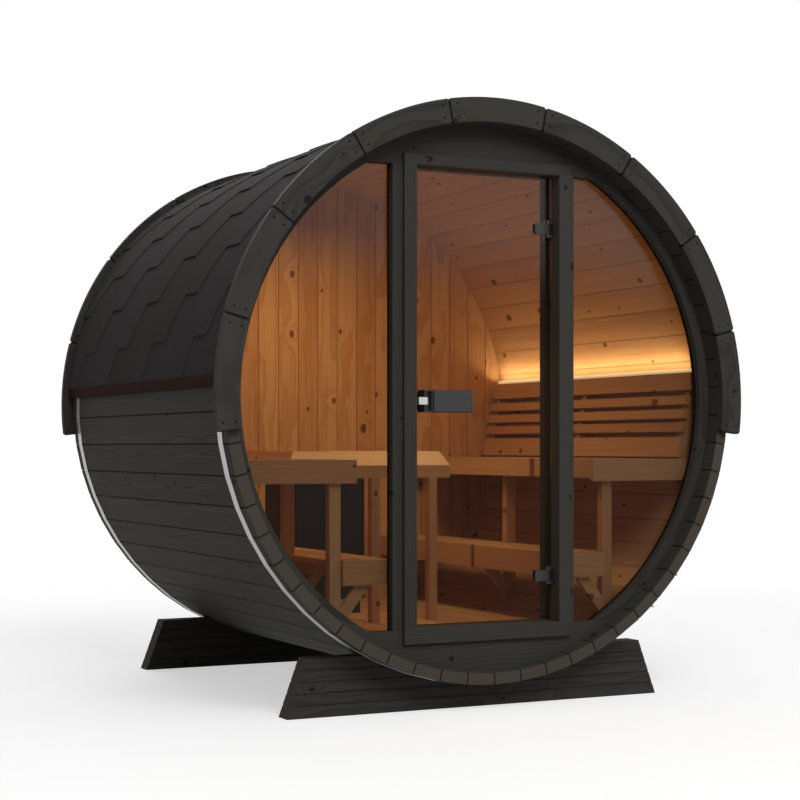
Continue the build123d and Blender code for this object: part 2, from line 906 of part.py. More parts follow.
def make_cradle(y0, y1):
    """Stacked planks with a round seat for the barrel."""
    total = cradle_plank_count * cradle_plank_height
    seat = disc(barrel_radius + cradle_fit, y0 - 1, y1 + 1)
    planks = []
    for place in range(cradle_plank_count):
        low = place * cradle_plank_height + (cradle_plank_gap / 2 if place else 0)
        high = (place + 1) * cradle_plank_height
        if place < cradle_plank_count - 1:
            high -= cradle_plank_gap / 2
        slope = (cradle_bottom_half - cradle_top_half) / total
        low_half = cradle_bottom_half - slope * low
        high_half = cradle_bottom_half - slope * high
        face = Plane.XZ * outline(
            [(-low_half, low), (low_half, low), (high_half, high), (-high_half, high)]
        )
        plank = Pos(0, y0, 0) * extrude(face, amount=y1 - y0, dir=(0, 1, 0))
        long_edges = plank.edges().filter_by(Axis.X)
        inner_edges = [edge for edge in long_edges if 1 < edge.center().Z < total - 1]
        plank = chamfer(inner_edges, cradle_vee)
        planks.extend((plank - seat).solids())
    return planks


def build_nodes():
    """Every node of the sauna with its solids."""
    nodes = {}
    nodes.update(make_staves())
    nodes["band_front"] = [make_band(front_end + band_inset)]
    nodes["band_rear"] = [make_band(rear_end - band_inset)]
    nodes["fascia_front"] = make_fascia(front_end - fascia_thickness, front_end)
    nodes["fascia_rear"] = make_fascia(rear_end, rear_end + fascia_thickness)
    nodes["roof_underlay"] = [roof_shell(underlay_inner, underlay_outer)]
    nodes["roof_shingles"] = [roof_shell(underlay_outer, shingle_outer)]
    nodes["eave_battens"] = make_eave_battens()
    nodes.update(make_front_wall())
    nodes.update(make_door_frame())
    nodes.update(make_door())
    nodes["rear_wall"] = make_rear_wall()
    nodes["floor_boards"], nodes["floor_bearers"] = make_floor()
    short_end = short_bench_end
    nodes["upper_bench_right"] = make_upper_bench(room_rear)
    nodes["upper_bench_left"] = [mirrored(piece) for piece in make_upper_bench(short_end)]
    nodes["lower_bench_right"] = make_lower_bench(right_post_positions)
    nodes["lower_bench_left"] = [mirrored(piece) for piece in make_lower_bench(left_post_positions)]
    nodes["bench_frame_right"] = make_bench_frame(right_post_positions, room_rear)
    left_frame = make_bench_frame(left_post_positions, short_end)
    nodes["bench_frame_left"] = [mirrored(piece) for piece in left_frame]
    slats, battens, light = make_backrest()
    nodes["backrest_slats"] = slats
    nodes["backrest_battens"] = battens
    nodes["light_strip"] = [light]
    nodes["heater"] = [make_heater()]
    posts_and_rails, boards = make_guard()
    nodes["heater_guard"] = posts_and_rails
    nodes["guard_top_boards"] = boards
    nodes["cradle_front"] = make_cradle(front_end + cradle_inset, front_end + cradle_inset + cradle_thickness)
    nodes["cradle_rear"] = make_cradle(rear_end - cradle_inset - cradle_thickness, rear_end - cradle_inset)
    return nodes


def main():
    os.makedirs("parts", exist_ok=True)
    for name, pieces in build_nodes().items():
        solids = [solid for piece in pieces for solid in piece.solids()]
        export_step(Compound(children=solids), f"parts/{name}.step")


main()
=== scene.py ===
"""A barrel sauna on cradles: finishes, roof shingles, ironmongery, studio and camera."""

import logging
import math
from contextlib import contextmanager
from dataclasses import dataclass, field
from enum import Enum
from functools import cached_property
from itertools import product
from typing import Callable, Iterator, Mapping, Sequence, Union

import bmesh
import bpy
from mathutils import Matrix, Vector


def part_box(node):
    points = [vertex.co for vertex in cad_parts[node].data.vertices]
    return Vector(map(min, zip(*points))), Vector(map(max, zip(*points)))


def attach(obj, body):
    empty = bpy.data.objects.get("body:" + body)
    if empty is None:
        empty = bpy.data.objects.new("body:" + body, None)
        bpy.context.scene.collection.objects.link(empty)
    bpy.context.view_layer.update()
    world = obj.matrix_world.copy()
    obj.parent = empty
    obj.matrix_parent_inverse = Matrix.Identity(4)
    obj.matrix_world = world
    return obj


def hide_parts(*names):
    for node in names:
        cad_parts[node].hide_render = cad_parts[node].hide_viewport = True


LOG = logging.getLogger("sauna")

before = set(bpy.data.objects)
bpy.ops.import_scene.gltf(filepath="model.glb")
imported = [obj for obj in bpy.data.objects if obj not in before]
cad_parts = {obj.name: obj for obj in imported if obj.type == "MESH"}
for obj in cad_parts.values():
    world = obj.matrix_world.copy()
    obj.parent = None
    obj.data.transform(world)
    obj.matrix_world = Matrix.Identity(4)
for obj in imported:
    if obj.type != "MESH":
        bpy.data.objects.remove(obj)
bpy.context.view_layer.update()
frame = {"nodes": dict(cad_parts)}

# The barrel, its end walls and the casing, in metres
AXIS_HEIGHT = 1.130
STAVE_STEP = 2 * math.pi / 58
STAVE_INSIDE = 1.0005
HALF_LENGTH = 0.915
WALL_BACK = -0.803
REAR_WALL_INSIDE = 0.780
REAR_TONGUE = 0.012
CASING_FRONT = -0.8631

# Shingles: the pitch of the tabs, and the middle of one tab in even and in odd courses, in metres
SHINGLE_PERIOD = 0.441
SHINGLE_CENTRES = (0.6675, 0.4428)
RIDGE_COURSE = 40

Colour = tuple[float, float, float, float]
WHITE: Colour = (1.0, 1.0, 1.0, 1.0)


def linear(red: int, green: int, blue: int) -> Colour:
    """Turns a display colour of 0 to 255 into a linear one.

    Args:
        red: Red share.
        green: Green share.
        blue: Blue share.

    Returns:
        The linear colour with full alpha.
    """
    shares = [value / 255 for value in (red, green, blue)]
    flat = [v / 12.92 if v <= 0.04045 else ((v + 0.055) / 1.055) ** 2.4 for v in shares]
    return (flat[0], flat[1], flat[2], 1.0)


# Shader arithmetic


def operator(operation: str, reflected: bool = False) -> Callable[..., "Value"]:
    """Makes a method of Value that adds a Math node.

    Args:
        operation: The Math node's operation.
        reflected: Whether the other number comes first.

    Returns:
        The method, which takes one more number or none.
    """

    def method(self: "Value", other: "Number" = 0.0) -> "Value":
        """Adds the Math node."""
        first, second = (other, self) if reflected else (self, other)
        return self.graph.math(operation, first, second)

    return method


class Value:
    """A shader socket that takes part in Python arithmetic."""

    def __init__(self, graph: "Graph", socket: bpy.types.NodeSocket) -> None:
        """Keeps the socket and the graph that it belongs to."""
        self.graph = graph
        self.socket = socket

    __add__ = operator("ADD")
    __radd__ = operator("ADD", reflected=True)
    __sub__ = operator("SUBTRACT")
    __rsub__ = operator("SUBTRACT", reflected=True)
    __mul__ = operator("MULTIPLY")
    __rmul__ = operator("MULTIPLY", reflected=True)
    __truediv__ = operator("DIVIDE")
    __rtruediv__ = operator("DIVIDE", reflected=True)
    __pow__ = operator("POWER")
    __gt__ = operator("GREATER_THAN")
    __lt__ = operator("LESS_THAN")
    floor = operator("FLOOR")
    fract = operator("FRACT")
    absolute = operator("ABSOLUTE")
    root = operator("SQRT")

    def smooth(self, low: float, high: float) -> "Value":
        """Rises smoothly from 0 at low to 1 at high, or falls if low is the greater.

        Args:
            low: Where the result is 0.
            high: Where the result is 1.

        Returns:
            The smooth step.
        """
        flip = low > high
        ends = (high, low) if flip else (low, high)
        result = self.graph.value(
            "ShaderNodeMapRange",
            {"interpolation_type": "SMOOTHSTEP"},
            {"Value": self, "From Min": ends[0], "From Max": ends[1]},
        )
        return 1 - result if flip else result


Number = Union[Value, float, int]
ColourLike = Union[Value, Colour]


class Graph:
    """The node tree of a material or of the world."""

    def __init__(self, owner: bpy.types.Material | bpy.types.World) -> None:
        """Empties the owner's tree.

        Args:
            owner: The material or world that the tree belongs to.
        """
        self.owner = owner
        owner.use_nodes = True
        self.tree = owner.node_tree
        self.tree.nodes.clear()

    @classmethod
    def of_material(cls, name: str) -> "Graph":
        """A graph on a new material of the given name."""
        return cls(bpy.data.materials.new(name))

    def node(
        self,
        kind: str,
        settings: Mapping[str, object] | None = None,
        inputs: Mapping[str | int, object] | None = None,
    ) -> bpy.types.Node:
        """Makes any node: its settings first, then its sockets.

        Args:
            kind: The node's type.
            settings: Its properties.
            inputs: A value or a linked Value for each socket, by name or place.

        Returns:
            The new node.
        """
        made = self.tree.nodes.new(kind)
        for name, value in (settings or {}).items():
            setattr(made, name, value)
        for key, value in (inputs or {}).items():
            socket = made.inputs[key]
            if isinstance(value, Value):
                self.tree.links.new(value.socket, socket)
            else:
                socket.default_value = value
        return made

    def value(
        self,
        kind: str,
        settings: Mapping[str, object] | None = None,
        inputs: Mapping[str | int, object] | None = None,
        output: str | int = 0,
    ) -> Value:
        """Makes any node, as node() does, and gives one of its outputs."""
        return Value(self, self.node(kind, settings, inputs).outputs[output])

    def math(self, operation: str, first: Number, second: Number = 0.0) -> Value:
        """A Math node on one or two values."""
        return self.value("ShaderNodeMath", {"operation": operation}, {0: first, 1: second})

    def vector(self, x: Number, y: Number, z: Number) -> Value:
        """A vector from three numbers."""
        return self.value("ShaderNodeCombineXYZ", None, {0: x, 1: y, 2: z})

    def split(self, vector: Value) -> tuple[Value, Value, Value]:
        """The three parts of a vector."""
        made = self.node("ShaderNodeSeparateXYZ", None, {0: vector})
        return tuple(Value(self, output) for output in made.outputs)

    def position(self) -> tuple[Value, Value, Value]:
        """The three object coordinates, in metres."""
        return self.split(self.value("ShaderNodeTexCoord", output="Object"))

    def noise(
        self, vector: Value, detail: float = 2.0, rough: float = 0.5, scale: float = 1.0
    ) -> Value:
        """Soft noise of 0 to 1.

        Args:
            vector: Where it is read.
            detail: Octaves.
            rough: How much the finer octaves count.
            scale: Features for each unit.

        Returns:
            The noise value.
        """
        return self.value(
            "ShaderNodeTexNoise",
            {"noise_dimensions": "3D"},
            {"Vector": vector, "Scale": scale, "Detail": detail, "Roughness": rough},
        )

    def chance(self, seed: Number) -> Value:
        """A number of 0 to 1 that is constant for each seed."""
        return self.value("ShaderNodeTexWhiteNoise", {"noise_dimensions": "1D"}, {"W": seed}, "Value")

    def mix(self, factor: Number, first: Number, second: Number) -> Value:
        """First where the factor is 0, second where it is 1."""
        return self.value("ShaderNodeMix", {"data_type": "FLOAT"}, {0: factor, 2: first, 3: second})

    def blend(self, factor: Number, first: ColourLike, second: ColourLike) -> Value:
        """The first colour where the factor is 0, the second where it is 1."""
        settings = {"data_type": "RGBA", "clamp_factor": True}
        return self.value("ShaderNodeMix", settings, {0: factor, 6: first, 7: second}, 2)

    def layered(self, ground: ColourLike, *layers: tuple[Number, ColourLike]) -> Value:
        """Lays colours over one another.

        Args:
            ground: The lowest colour.
            *layers: The share and the colour of each layer over it.

        Returns:
            The colour on top.
        """
        for share, colour in layers:
            ground = self.blend(share, ground, colour)
        return ground

    def bump(self, height: Value, strength: float, distance: float) -> Value:
        """A normal from a height of 0 to 1, whose real size is the distance in metres."""
        inputs = {"Strength": strength, "Distance": distance, "Height": height}
        return self.value("ShaderNodeBump", None, inputs)

    def principled(self, inputs: Mapping[str, object]) -> Value:
        """A Principled shader with the given sockets."""
        return self.value("ShaderNodeBsdfPrincipled", None, inputs)

    def shader_mix(self, factor: Number, first: Value, second: Value) -> Value:
        """The first shader where the factor is 0, the second where it is 1."""
        return self.value("ShaderNodeMixShader", None, {0: factor, 1: first, 2: second})

    def finish(self, shader: Value) -> bpy.types.Material:
        """Links a shader to the output and returns the material."""
        self.node("ShaderNodeOutputMaterial", None, {"Surface": shader})
        return self.owner

    def surface(self, inputs: Mapping[str, object]) -> bpy.types.Material:
        """Finishes the material with one Principled shader."""
        return self.finish(self.principled(inputs))


# Boards: how a place on a piece falls on its boards


@dataclass
class Board:
    """A place as the board's maker sees it.

    Attributes:
        along: Metres along the grain.
        across: Metres over the face.
        depth: Metres through the thickness.
        seed: A number of 0 to 1 for each board.
        joint: 1 in the shadow of a joint with the next board, otherwise 0.
        fixing: 1 on a sunk screw, otherwise 0.
        end: 1 on end grain, otherwise 0.
    """

    along: Value
    across: Value
    depth: Value
    seed: Value
    joint: Number = 0.0
    fixing: Number = 0.0
    end: Number = 0.0

    def noise(
        self, along: float, across: float, spread: float, detail: float, rough: float = 0.5
    ) -> Value:
        """Noise that is drawn out along the grain and differs from board to board.

        Args:
            along: Features for each metre along the grain.
            across: Features for each metre over the face and through the thickness.
            spread: How far the seed moves the noise.
            detail: Octaves.
            rough: How much the finer octaves count.

        Returns:
            The noise of 0 to 1.
        """
        graph = self.along.graph
        lane = self.depth * across + self.seed * spread
        return graph.noise(graph.vector(self.along * along, self.across * across, lane), detail, rough)


class BoardMap:
    """Works out the board coordinates of a layout.

    Each method numbers the boards of one layout and adds where their seeds start. The whole
    numbers by which it multiplies a side or an end only keep those boards' seeds apart.
    """

    def __init__(self, graph: Graph, layout: "Layout") -> None:
        """Reads the layout and the object coordinates.

        Args:
            graph: The material's graph.
            layout: How the boards lie.
        """
        self.method, self.series = layout.value
        self.graph = graph
        self.x, self.y, self.z = graph.position()
        self.right = self.x > 0
        self.rear = self.y > 0

    def place(self) -> Board:
        """The board that each place is on."""
        return self.method(self)

    def ring(
        self, step: float, radius: float, first: float
    ) -> tuple[Value, Value, Value, Value]:
        """Boards that follow one another round the barrel's axis.

        Args:
            step: Angle of one board, in radians.
            radius: Radius of their middle, in metres.
            first: Where board 0 has the barrel's top, as a share of its width.

        Returns:
            The board's number, the place from its middle as a share of its width, and the
            metres round and out from its middle.
        """
        up = self.z - AXIS_HEIGHT
        place = self.graph.math("ARCTAN2", self.x, up) / step + first
        index = place.floor()
        offset = place - index - 0.5
        out = (self.x * self.x + up * up).root() - radius
        return index, offset, offset * step * radius, out

    def arc_boards(self, degrees: float) -> tuple[Board, Value]:
        """Curved boards on the ends, and the place from their middle as a share of their length."""
        index, offset, run, side = self.ring(math.radians(degrees), 1.04, 0.5)
        seed = self.graph.chance(index + self.series + self.rear * 9)
        return Board(run, side, self.y, seed), offset

    def staves(self) -> Board:
        """Staves round the barrel, with the grain along it."""
        index, offset, run, side = self.ring(STAVE_STEP, 1.02, 0.0)
        joint = offset.absolute().smooth(0.462, 0.488)
        end = self.y.absolute() > HALF_LENGTH - 0.0004
        return Board(self.y, run, side, self.graph.chance(index + self.series), joint, 0.0, end)

    def fascia(self) -> Board:
        """Curved boards on the stave ends, with a screw in each corner."""
        board, offset = self.arc_boards(21.53)
        screw_along, screw_across = 0.166, 0.022
        corner = (board.along.absolute() - screw_along) ** 2.0
        corner = corner + (board.across.absolute() - screw_across) ** 2.0
        board.joint = offset.absolute().smooth(0.483, 0.495)
        board.fixing = corner.root().smooth(0.0046, 0.0034)
        return board

    def rims(self) -> Board:
        """Curved members of the front wall, each half a ring."""
        return self.arc_boards(180)[0]

    def upright(self) -> Board:
        """Upright members."""
        seed = self.graph.chance(self.right * 5 + self.rear * 3 + self.series)
        return Board(self.z, self.x, self.y, seed)

    def level(self) -> Board:
        """Level members, side to side."""
        height, spacing = 0.9, 0.35
        index = (self.z / height).floor() + (self.y / spacing).floor()
        return Board(self.x, self.z, self.y, self.graph.chance(index + self.series))

    def rear_wall(self) -> Board:
        """Upright tongue and groove boards."""
        start, pitch, shift = -1.0042, 0.09564, 0.95
        place = (self.x - start) / pitch
        index = place.floor()
        joint = (place - index - 0.5).absolute().smooth(0.470, 0.490)
        across = self.x - index * pitch + shift
        return Board(self.z, across, self.y, self.graph.chance(index + self.series), joint)

    def floor(self) -> Board:
        """Floor boards along the barrel."""
        start, pitch = -0.449, 0.1294
        index = ((self.x - start) / pitch).floor()
        return Board(self.y, self.x - index * pitch, self.z, self.graph.chance(index + self.series))

    def cradle(self) -> Board:
        """Stacked planks, the upper ones in two pieces."""
        plank, split_above = 0.0416, 0.09
        index = (self.z / plank).floor()
        upper = self.z > split_above
        seed = self.graph.chance(index + self.series + self.rear * 17 + self.right * 31 * upper)
        return Board(self.x, self.z, self.y, seed)

    def bench(self, start: float, pitch: float) -> Board:
        """Slats along the barrel, and the board over their front ends.

        Args:
            start: The slats' inner edge, from the middle.
            pitch: From slat to slat.

        Returns:
            The board coordinates.
        """
        graph, x, y, z = self.graph, self.x, self.y, self.z
        end_board_back = -0.7779
        index = ((x.absolute() - start) / pitch).floor()
        end = y < end_board_back
        seed = graph.chance(index * (1 - end) + end * 40 + self.right * 13 + self.series)
        return Board(graph.mix(end, y, x), graph.mix(end, x, z), graph.mix(end, z, y), seed)

    def upper_bench(self) -> Board:
        """Upper slats and their end board."""
        return self.bench(0.497, 0.1)

    def lower_bench(self) -> Board:
        """Lower slats and their end board."""
        return self.bench(0.360, 0.113)

    def bench_frame(self) -> Board:
        """Posts and bearers under the benches."""
        post_inner, post_outer, spacing = 0.5505, 0.5945, 0.3
        girth = self.x.absolute()
        post = (girth > post_inner) * (girth < post_outer)
        index = (self.y / spacing).floor() + post * 20 + self.right * 50
        along = self.graph.mix(post, self.x, self.z)
        across = self.graph.mix(post, self.z, self.x)
        return Board(along, across, self.y, self.graph.chance(index + self.series))

    def backrest(self) -> Board:
        """Leaning slats, one above another."""
        gaps = (1.0022, 1.0571, 1.1106, 1.1665)
        index = sum(self.z > gap for gap in gaps)
        return Board(self.y, self.z, self.x, self.graph.chance(index + self.series))

    def battens(self) -> Board:
        """Strips along the barrel."""
        length = 1.2
        seed = self.graph.chance(self.right * 3 + (self.y / length).floor() + self.series)
        return Board(self.y, self.z, self.x, seed)

    def guard(self) -> Board:
        """The heater guard's posts, and the rails on them."""
        graph, x, y, z = self.graph, self.x, self.y, self.z
        rail_underside, front_rail_back, spacing = 0.8299, -0.2779, 0.2
        post = z < rail_underside
        front = (y < front_rail_back) * (1 - post)
        along = graph.mix(post, graph.mix(front, y, x), z)
        seed = graph.chance((x / spacing).floor() * (1 - front) + front * 9 + self.series)
        return Board(along, graph.mix(post, z, x), graph.mix(front, x, y), seed)

    def guard_boards(self) -> Board:
        """The guard's top boards, parted by the mitres of the front one."""
        graph, x, y, z = self.graph, self.x, self.y, self.z
        left, right, front_edge, middle = -0.549, 0.145, -0.299, -0.2
        side = graph.math("MINIMUM", x - left, right - x)
        front = (y - front_edge) < side
        seed = graph.chance(front * 7 + (x > middle) * (1 - front) * 3 + self.series)
        return Board(graph.mix(front, y, x), z, graph.mix(front, x, y), seed)


class Layout(Enum):
    """How boards lie: what places them, and where their seeds start."""

    STAVES = (BoardMap.staves, 71.3)
    FASCIA = (BoardMap.fascia, 33.7)
    RIMS = (BoardMap.rims, 33.7)
    UPRIGHT = (BoardMap.upright, 0.7)
    LEVEL = (BoardMap.level, 2.3)
    REAR_WALL = (BoardMap.rear_wall, 11.9)
    FLOOR = (BoardMap.floor, 5.1)
    CRADLE = (BoardMap.cradle, 8.4)
    UPPER_BENCH = (BoardMap.upper_bench, 3.3)
    LOWER_BENCH = (BoardMap.lower_bench, 3.3)
    BENCH_FRAME = (BoardMap.bench_frame, 0.9)
    BACKREST = (BoardMap.backrest, 21.7)
    BATTENS = (BoardMap.battens, 0.6)
    GUARD = (BoardMap.guard, 0.4)
    GUARD_BOARDS = (BoardMap.guard_boards, 0.2)


@dataclass
class Grain:
    """Softwood as grown: rings, knots and fibres.

    Attributes:
        graph: The material's graph.
        board: The board that each place is on.
        ring_pitch: Metres from ring to ring.
        ring_wander: How far the rings wander, in rings.
        ring_swirl: How far a knot bends them, in rings.
        pith_side: Metres over which the pith lies to the sides.
        pith_depth: Least metres of the pith behind the face, and what the seed adds.
        pith_lean: Metres by which the pith wanders along the board.
        knot_spacing: Metres from knot to knot along the grain.
        knot_width: Metres from knot to knot over the face.
        knot_share: Share of the places where a knot is present.
        knot_radius: Least radius in metres, and what chance adds.
        knot_stretch: Length of a knot along the grain against its width, inverted.
    """

    graph: Graph
    board: Board
    ring_pitch: float = 0.0042
    ring_wander: float = 2.6
    ring_swirl: float = 3.4
    pith_side: float = 0.11
    pith_depth: tuple[float, float] = (0.012, 0.055)
    pith_lean: float = 0.05
    knot_spacing: float = 0.30
    knot_width: float = 0.125
    knot_share: float = 0.55
    knot_radius: tuple[float, float] = (0.0045, 0.008)
    knot_stretch: float = 0.72

    @cached_property
    def knots(self) -> tuple[Value, Value]:
        """The distance to the nearest knot in knot radii, and 1 where that knot is present."""
        graph, board = self.graph, self.board
        along = (board.along + board.seed * 37) / self.knot_spacing
        across = board.across / self.knot_width + board.seed * 91
        cell = graph.node(
            "ShaderNodeTexVoronoi",
            {"voronoi_dimensions": "2D", "feature": "F1"},
            {"Vector": graph.vector(along, across, 0.0), "Scale": 1.0, "Randomness": 0.9},
        )
        centre = graph.split(Value(graph, cell.outputs["Position"]))
        luck = graph.split(Value(graph, cell.outputs["Color"]))
        run = (along - centre[0]) * self.knot_spacing
        side = (across - centre[1]) * self.knot_width
        size = self.knot_radius[0] + luck[1] * luck[1] * self.knot_radius[1]
        ragged = graph.noise(graph.vector(run * 55, side * 80, luck[2] * 9), 1.0) * 0.5
        oval = ((run * self.knot_stretch) ** 2.0 + side**2.0).root()
        return oval / size * (0.75 + ragged), luck[0] < self.knot_share

    @cached_property
    def late(self) -> Value:
        """The share of latewood: each ring darkens slowly and ends sharply."""
        graph, board = self.graph, self.board
        distance, present = self.knots
        lean = graph.noise(graph.vector(board.along * 1.3, board.seed * 51, 0.0), 1.0)
        wander = board.noise(2.6, 9, 23, 2.0)
        pith_side = (graph.chance(board.seed * 877 + 3) - 0.5) * self.pith_side
        pith_depth = board.seed * self.pith_depth[1] + self.pith_depth[0]
        side = board.across - pith_side + (lean - 0.5) * self.pith_lean
        deep = board.depth + pith_depth
        radius = (side * side + deep * deep).root()
        swirl = present * self.ring_swirl / (distance * distance * 0.35 + 1)
        rings = radius / self.ring_pitch + (wander - 0.5) * self.ring_wander + swirl
        phase = rings.fract()
        return phase.smooth(0.35, 0.98) * (1 - phase.smooth(0.985, 1.0))

    @cached_property
    def fibre(self) -> Value:
        """Noise of 0 to 1 from short fibres and long streaks."""
        fibres = self.board.noise(14, 900, 7, 2.0, 0.6)
        streaks = self.board.noise(1.4, 150, 31, 1.0)
        return fibres * 0.6 + streaks * 0.4

    @cached_property
    def knot(self) -> Value:
        """The share of knot."""
        distance, present = self.knots
        return present * distance.smooth(1.15, 0.9)

    @cached_property
    def rim(self) -> Value:
        """The dark rim round each knot."""
        distance, present = self.knots
        return present * distance.smooth(1.5, 1.0) * distance.smooth(0.72, 0.98)


# Finishes


@dataclass(frozen=True)
class Wood:
    """What all finishes on boards share.

    Attributes:
        roughness: The middle roughness.
        uneven: How much the height changes the roughness.
        shine: Specular level.
        relief: Share of the bump.
        relief_height: Its real height, in metres.
    """

    roughness: float = 0.55
    uneven: float = 0.14
    shine: float = 0.3
    relief: float = 0.35
    relief_height: float = 0.0006

    def colour(self, grain: Grain, layout: Layout) -> tuple[Value, Value]:
        """The finish's colour, and its height of 0 to 1 for the bump."""
        raise NotImplementedError

    def build(self, name: str, layout: Layout) -> bpy.types.Material:
        """The material for boards of one layout.

        Args:
            name: The material's name.
            layout: How the boards lie.

        Returns:
            The material.
        """
        graph = Graph.of_material(name)
        grain = Grain(graph, BoardMap(graph, layout).place())
        colour, height = self.colour(grain, layout)
        return graph.surface(
            {
                "Base Color": colour,
                "Roughness": self.roughness + (height - 0.5) * self.uneven,
                "Specular IOR Level": self.shine,
                "Normal": graph.bump(height, self.relief, self.relief_height),
            }
        )


@dataclass(frozen=True)
class NaturalWood(Wood):
    """Planed, untreated, knotty softwood."""

    early: Colour = linear(206, 162, 108)
    late: Colour = linear(174, 121, 71)
    pale: Colour = linear(220, 180, 134)
    red: Colour = linear(174, 113, 67)
    knot: Colour = linear(112, 58, 30)
    rim: Colour = linear(66, 34, 18)

    def colour(self, grain: Grain, layout: Layout) -> tuple[Value, Value]:
        """The wood's colour and height, as Wood.colour says."""
        fibre, board = grain.fibre, grain.board
        colour = grain.graph.layered(
            self.early,
            (grain.late * 0.55, self.late),
            ((board.seed - 0.2) * 0.55, self.red),
            ((fibre - 0.45) * 1.1, self.pale),
            ((0.5 - fibre) * 1.3, self.knot),
            (grain.rim * 0.75, self.rim),
            (grain.knot * 0.85, self.knot),
            (board.joint * 0.4, self.rim),
        )
        return colour, fibre * 0.5 + grain.late * 0.35 + grain.knot * 0.4


@dataclass(frozen=True)
class StainedWood(Wood):
    """Softwood under a matt black stain through which the grain still shows."""

    roughness: float = 0.62
    uneven: float = 0.16
    shine: float = 0.03
    relief: float = 0.5
    relief_height: float = 0.0007
    ground: Colour = linear(58, 57, 53)
    late: Colour = linear(41, 40, 37)
    worn: Colour = linear(78, 75, 69)
    brown: Colour = linear(66, 58, 48)
    knot: Colour = linear(22, 21, 20)
    cut: Colour = linear(84, 75, 65)
    shadow: Colour = linear(8, 8, 7)

    def colour(self, grain: Grain, layout: Layout) -> tuple[Value, Value]:
        """The stain's colour and height, as Wood.colour says."""
        fibre, board = grain.fibre, grain.board
        cloud = board.noise(3, 14, 19, 3.0)
        colour = grain.graph.layered(
            self.ground,
            (grain.late * 0.6, self.late),
            ((fibre - 0.5).smooth(0.05, 0.3) * 0.5, self.worn),
            (cloud.smooth(0.5, 0.8) * 0.35, self.brown),
            ((board.seed - 0.5) * 0.35, self.worn),
            (grain.knot * 0.8, self.knot),
            (board.end * 0.5, self.cut),
            (board.joint * 0.85, self.shadow),
            (board.fixing * 0.9, self.shadow),
        )
        return colour, fibre * 0.6 + grain.late * 0.3 + grain.knot * 0.35 - board.fixing


@dataclass(frozen=True)
class LinedWood(Wood):
    """Boards that are stained outside and left natural in the room."""

    roughness: float = 0.6
    uneven: float = 0.15
    shine: float = StainedWood.shine
    relief: float = 0.45
    relief_height: float = 0.0007
    outside: StainedWood = StainedWood()
    inside: NaturalWood = NaturalWood()

    def colour(self, grain: Grain, layout: Layout) -> tuple[Value, Value]:
        """The colour and height on staves or on the rear wall, as Wood.colour says."""
        graph = grain.graph
        x, y, z = graph.position()
        if layout is Layout.STAVES:
            up = z - AXIS_HEIGHT
            inside = (x * x + up * up).root() < STAVE_INSIDE
            in_room = inside * (y > WALL_BACK) * (y < REAR_WALL_INSIDE)
        else:
            in_room = y < REAR_WALL_INSIDE + REAR_TONGUE
        bare, bare_height = self.inside.colour(grain, layout)
        dark, dark_height = self.outside.colour(grain, layout)
        return graph.blend(in_room, dark, bare), graph.mix(in_room, dark_height, bare_height)


@dataclass(frozen=True)
class MineralShingle:
    """Bitumen shingle with a mineral surface."""

    dark: Colour = linear(43, 41, 42)
    purple: Colour = linear(86, 77, 82)
    green: Colour = linear(86, 87, 79)
    shine: float = 0.02

    def tone(self, graph: Graph, x: Value, y: Value) -> Value:
        """A number of 0 to 1 for each hexagon, from its course and its place along the eave.

        Args:
            graph: The material's graph.
            x: Object coordinate, which tells the two slopes apart.
            y: Object coordinate along the eave.

        Returns:
            The number.
        """
        course = graph.value("ShaderNodeAttribute", {"attribute_name": "course"}, None, "Fac")
        right = x > 0
        centre = graph.mix((course * 0.5 + 0.25).fract() > 0.5, *SHINGLE_CENTRES)
        place = (y * (right * 2 - 1) - centre) / SHINGLE_PERIOD + 0.5
        hexagon = place.floor() * (course < RIDGE_COURSE)
        return graph.chance(course * 7.3 + hexagon * 2.1 + right * 400 + 55.0)

    def build(self, name: str) -> bpy.types.Material:
        """The material."""
        graph = Graph.of_material(name)
        x, y, z = graph.position()
        place = graph.vector(x, y, z)
        grit = graph.noise(place, 2.0, 0.7, scale=900.0)
        cloud = graph.noise(place, 3.0, scale=9.0)
        tone = self.tone(graph, x, y)
        pale = graph.blend(tone, self.purple, self.green)
        colour = graph.layered(
            self.dark, (grit.smooth(0.35, 0.7), pale), (cloud * 0.3 + tone * 0.25, self.dark)
        )
        return graph.surface(
            {
                "Base Color": colour,
                "Roughness": 0.92 - grit * 0.1,
                "Specular IOR Level": self.shine,
                "Normal": graph.bump(grit, 0.5, 0.0008),
            }
        )


@dataclass(frozen=True)
class Metal:
    """A plain metal with fine brushing or a powder coat."""

    colour: Colour
    metallic: float
    roughness: float
    stretch: tuple[float, float, float] = (60.0, 60.0, 60.0)
    shade: float = 0.72

    def build(self, name: str) -> bpy.types.Material:
        """The material."""
        graph = Graph.of_material(name)
        place = [value * size for value, size in zip(graph.position(), self.stretch)]
        wear = graph.noise(graph.vector(*place), 3.0, 0.6)
        shaded = tuple(share * self.shade for share in self.colour[:3]) + (1.0,)
        return graph.surface(
            {
                "Base Color": graph.blend(wear, shaded, self.colour),
                "Metallic": self.metallic,
                "Roughness": self.roughness + (wear - 0.5) * 0.2,
                "Normal": graph.bump(wear, 0.08, 0.0004),
            }
        )


